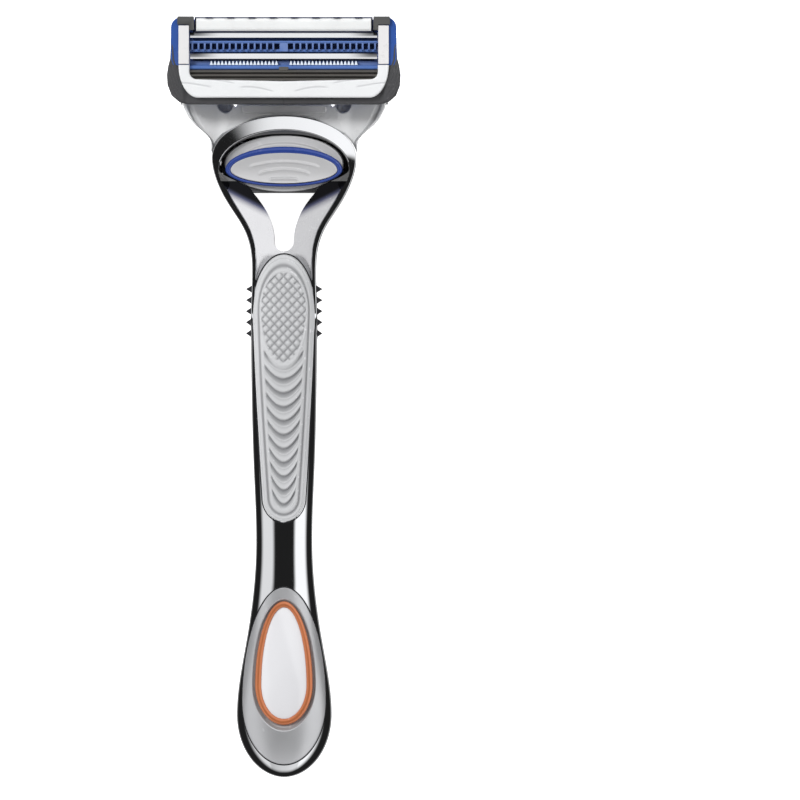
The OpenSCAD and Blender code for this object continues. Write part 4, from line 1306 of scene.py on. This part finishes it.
def makeStrip():
    tray = [barPart(strip["tray"], -strip["trayHalf"], strip["trayHalf"])] + ribBlocks(*strip["tabs"])
    makePiece("stripTray", tray, "trayBlue", "cartridge", ["strip_tray"], bevel=0.06,
              merge=False)
    # strip: rounded bar with very shallow pressed lines
    first, last = strip["y"]
    y = np.linspace(first, last, 80)
    t = (y - y.mean()) / (np.ptp(y) / 2)
    lines = np.abs(np.sin(np.pi * (y - first) / strip["linePitch"])) ** 6
    z = strip["top"] - strip["roundDrop"] * np.abs(t) ** 5 - strip["lineDepth"] * lines
    profile = np.concatenate([np.column_stack([y, z]), [[last, strip["low"]], [first, strip["low"]]]])
    makePiece("lubricatingStrip", [barPart(profile, -strip["halfLength"], strip["halfLength"])], "stripWhite",
              "cartridge", ["lubricating_strip"], sharp=50)


cornerCap = {
    "outline": [(16.1, 134.5), (17.0, 134.5), (17.0, 135.5), (19.1, 135.5), (19.1, 137.0), (16.1, 137.0)],
    "z": (14.1, 14.95),
}


def makeCorners():
    cap = prismPart(cornerCap["outline"], *cornerCap["z"])
    makePiece("cornerCaps", bothSides([cap]), "capGrey", "cartridge", ["corner_caps"], bevel=0.12)


makeBumper()
makeSoftRim()
makeClips()
makeHousing()
for side, edgeY in blade["edges"].items():
    makeBlade(side, edgeY)
makeGuard()
makeLowerComb()
makeFins()
makeStrip()
makeCorners()
print("cartridge made")

# ---- finishes on the CAD nodes that stay in view ----


innerLooks = {
    "docking_housing": "coreBlack",
    "plunger": "plainWhite",
    "plunger_spring": "springWire",
    "button_springs": "springWire",
    "lower_blade_support": "supportSteel",
    "upper_blade_support": "supportSteel",
}
for node, look in innerLooks.items():
    shown = frame["nodes"][node]
    if not shown.material_slots:
        shown.data.materials.append(finishes[look])
    for place in shown.material_slots:
        place.material = finishes[look]

# ---- floor, light and camera ----

stage = {
    "floorSize": 3.0, "floorZ": -0.02, "floorColor": (0.9, 0.9, 0.9, 1), "floorGlow": 0.95,
    "worldBright": 1.15, "leftShare": 0.72, "worldDark": 0.015, "groundShine": 0.3,
    "gapHalf": 0.35, "gapSoft": 0.1, "gapLean": 1.8, "gapSide": (0.45, 0.6),
    "horizon": (-0.06, 0.42), "gapEnd": (0.3, 0.7), "endShare": 0.7, "sideRun": (-0.4, 0.3),
    "keyStrength": 2.3, "keyFrom": (-0.52, 0.4, 0.755), "keyAngle": 14.0,
    "lens": 400.0, "sensor": 36.0, "viewWidth": 0.144, "across": 0.0209, "up": -0.0004, "focusZ": 0.011,
}


def makeFloor():
    size = stage["floorSize"] / 2
    mesh = bpy.data.meshes.new("floor")
    low = stage["floorZ"] * mm
    corners = [(-size, -size, low), (size, -size, low), (size, size, low), (-size, size, low)]
    mesh.from_pydata(corners, [], [(0, 1, 2, 3)])
    floor = addObject("floor", mesh)
    material = bpy.data.materials.new("paleFloor")
    material.use_nodes = True
    tree = material.node_tree
    setInputs(tree.nodes["Principled BSDF"], {
        "Base Color": stage["floorColor"], "Roughness": 0.8,
        "Emission Color": (1, 1, 1, 1), "Emission Strength": stage["floorGlow"],
    })
    mesh.materials.append(material)
    floor.visible_glossy = False


def makeWorld():
    # a pale tent with a dark gap overhead that runs along the razor and a dark ground
    world = bpy.data.worlds.new("studio")
    bpy.context.scene.world = world
    world.use_nodes = True
    tree = world.node_tree
    place = tree.nodes.new("ShaderNodeTexCoord").outputs["Generated"]
    split = tree.nodes.new("ShaderNodeSeparateXYZ")
    tree.links.new(place, split.inputs[0])

    x, y, z = split.outputs

    def ramp(value, low, high):
        return rampNode(tree, value, low, high, "SMOOTHSTEP")

    def times(a, b):
        return mathNode(tree, "MULTIPLY", a, b)

    def plus(a, b):
        return mathNode(tree, "ADD", a, b)

    def larger(a, b):
        return mathNode(tree, "MAXIMUM", a, b)

    # the gap's middle leans away to one side ahead, and the gap ends at its sides and behind
    half, soft = stage["gapHalf"], stage["gapSoft"]
    side = mathNode(tree, "ABSOLUTE", plus(x, times(larger(y, 0.0), stage["gapLean"])))
    gap = ramp(side, half - soft, half + soft)
    gap = larger(gap, ramp(mathNode(tree, "ABSOLUTE", x), *stage["gapSide"]))
    gap = larger(gap, times(ramp(times(y, -1.0), *stage["gapEnd"]), stage["endShare"]))
    sky = ramp(z, *stage["horizon"])
    rightward = times(ramp(x, *stage["sideRun"]), 1 - stage["leftShare"])
    light = times(times(gap, sky), plus(rightward, stage["leftShare"]))
    light = plus(light, times(ramp(times(z, -1.0), 0.8, 0.95), stage["groundShine"]))
    power = plus(times(light, stage["worldBright"]), stage["worldDark"])
    tree.links.new(power, tree.nodes["Background"].inputs["Strength"])
    tree.nodes["Background"].inputs["Color"].default_value = (1, 1, 1, 1)


def makeKeyLight():
    data = bpy.data.lights.new("key", "SUN")
    data.energy = stage["keyStrength"]
    data.angle = np.radians(stage["keyAngle"])
    lamp = addObject("key", data)
    lamp.rotation_mode = "QUATERNION"
    lamp.rotation_quaternion = Vector(stage["keyFrom"]).to_track_quat("Z", "Y")
    lamp.visible_glossy = False


def makeCamera():
    data = bpy.data.cameras.new("camera")
    data.lens = stage["lens"]
    data.sensor_width = stage["sensor"]
    away = stage["viewWidth"] * stage["lens"] / stage["sensor"]
    data.clip_start = 0.01
    data.clip_end = 20
    camera = addObject("camera", data)
    low, high = np.array(cadBox[0]), np.array(cadBox[1])
    middle = (low + high) / 2
    camera.location = (middle[0] + stage["across"], middle[1] + stage["up"], stage["focusZ"] + away)
    bpy.context.scene.camera = camera


makeFloor()
makeWorld()
makeKeyLight()
makeCamera()
bpy.context.scene.view_settings.view_transform = "Standard"
print("stage made")
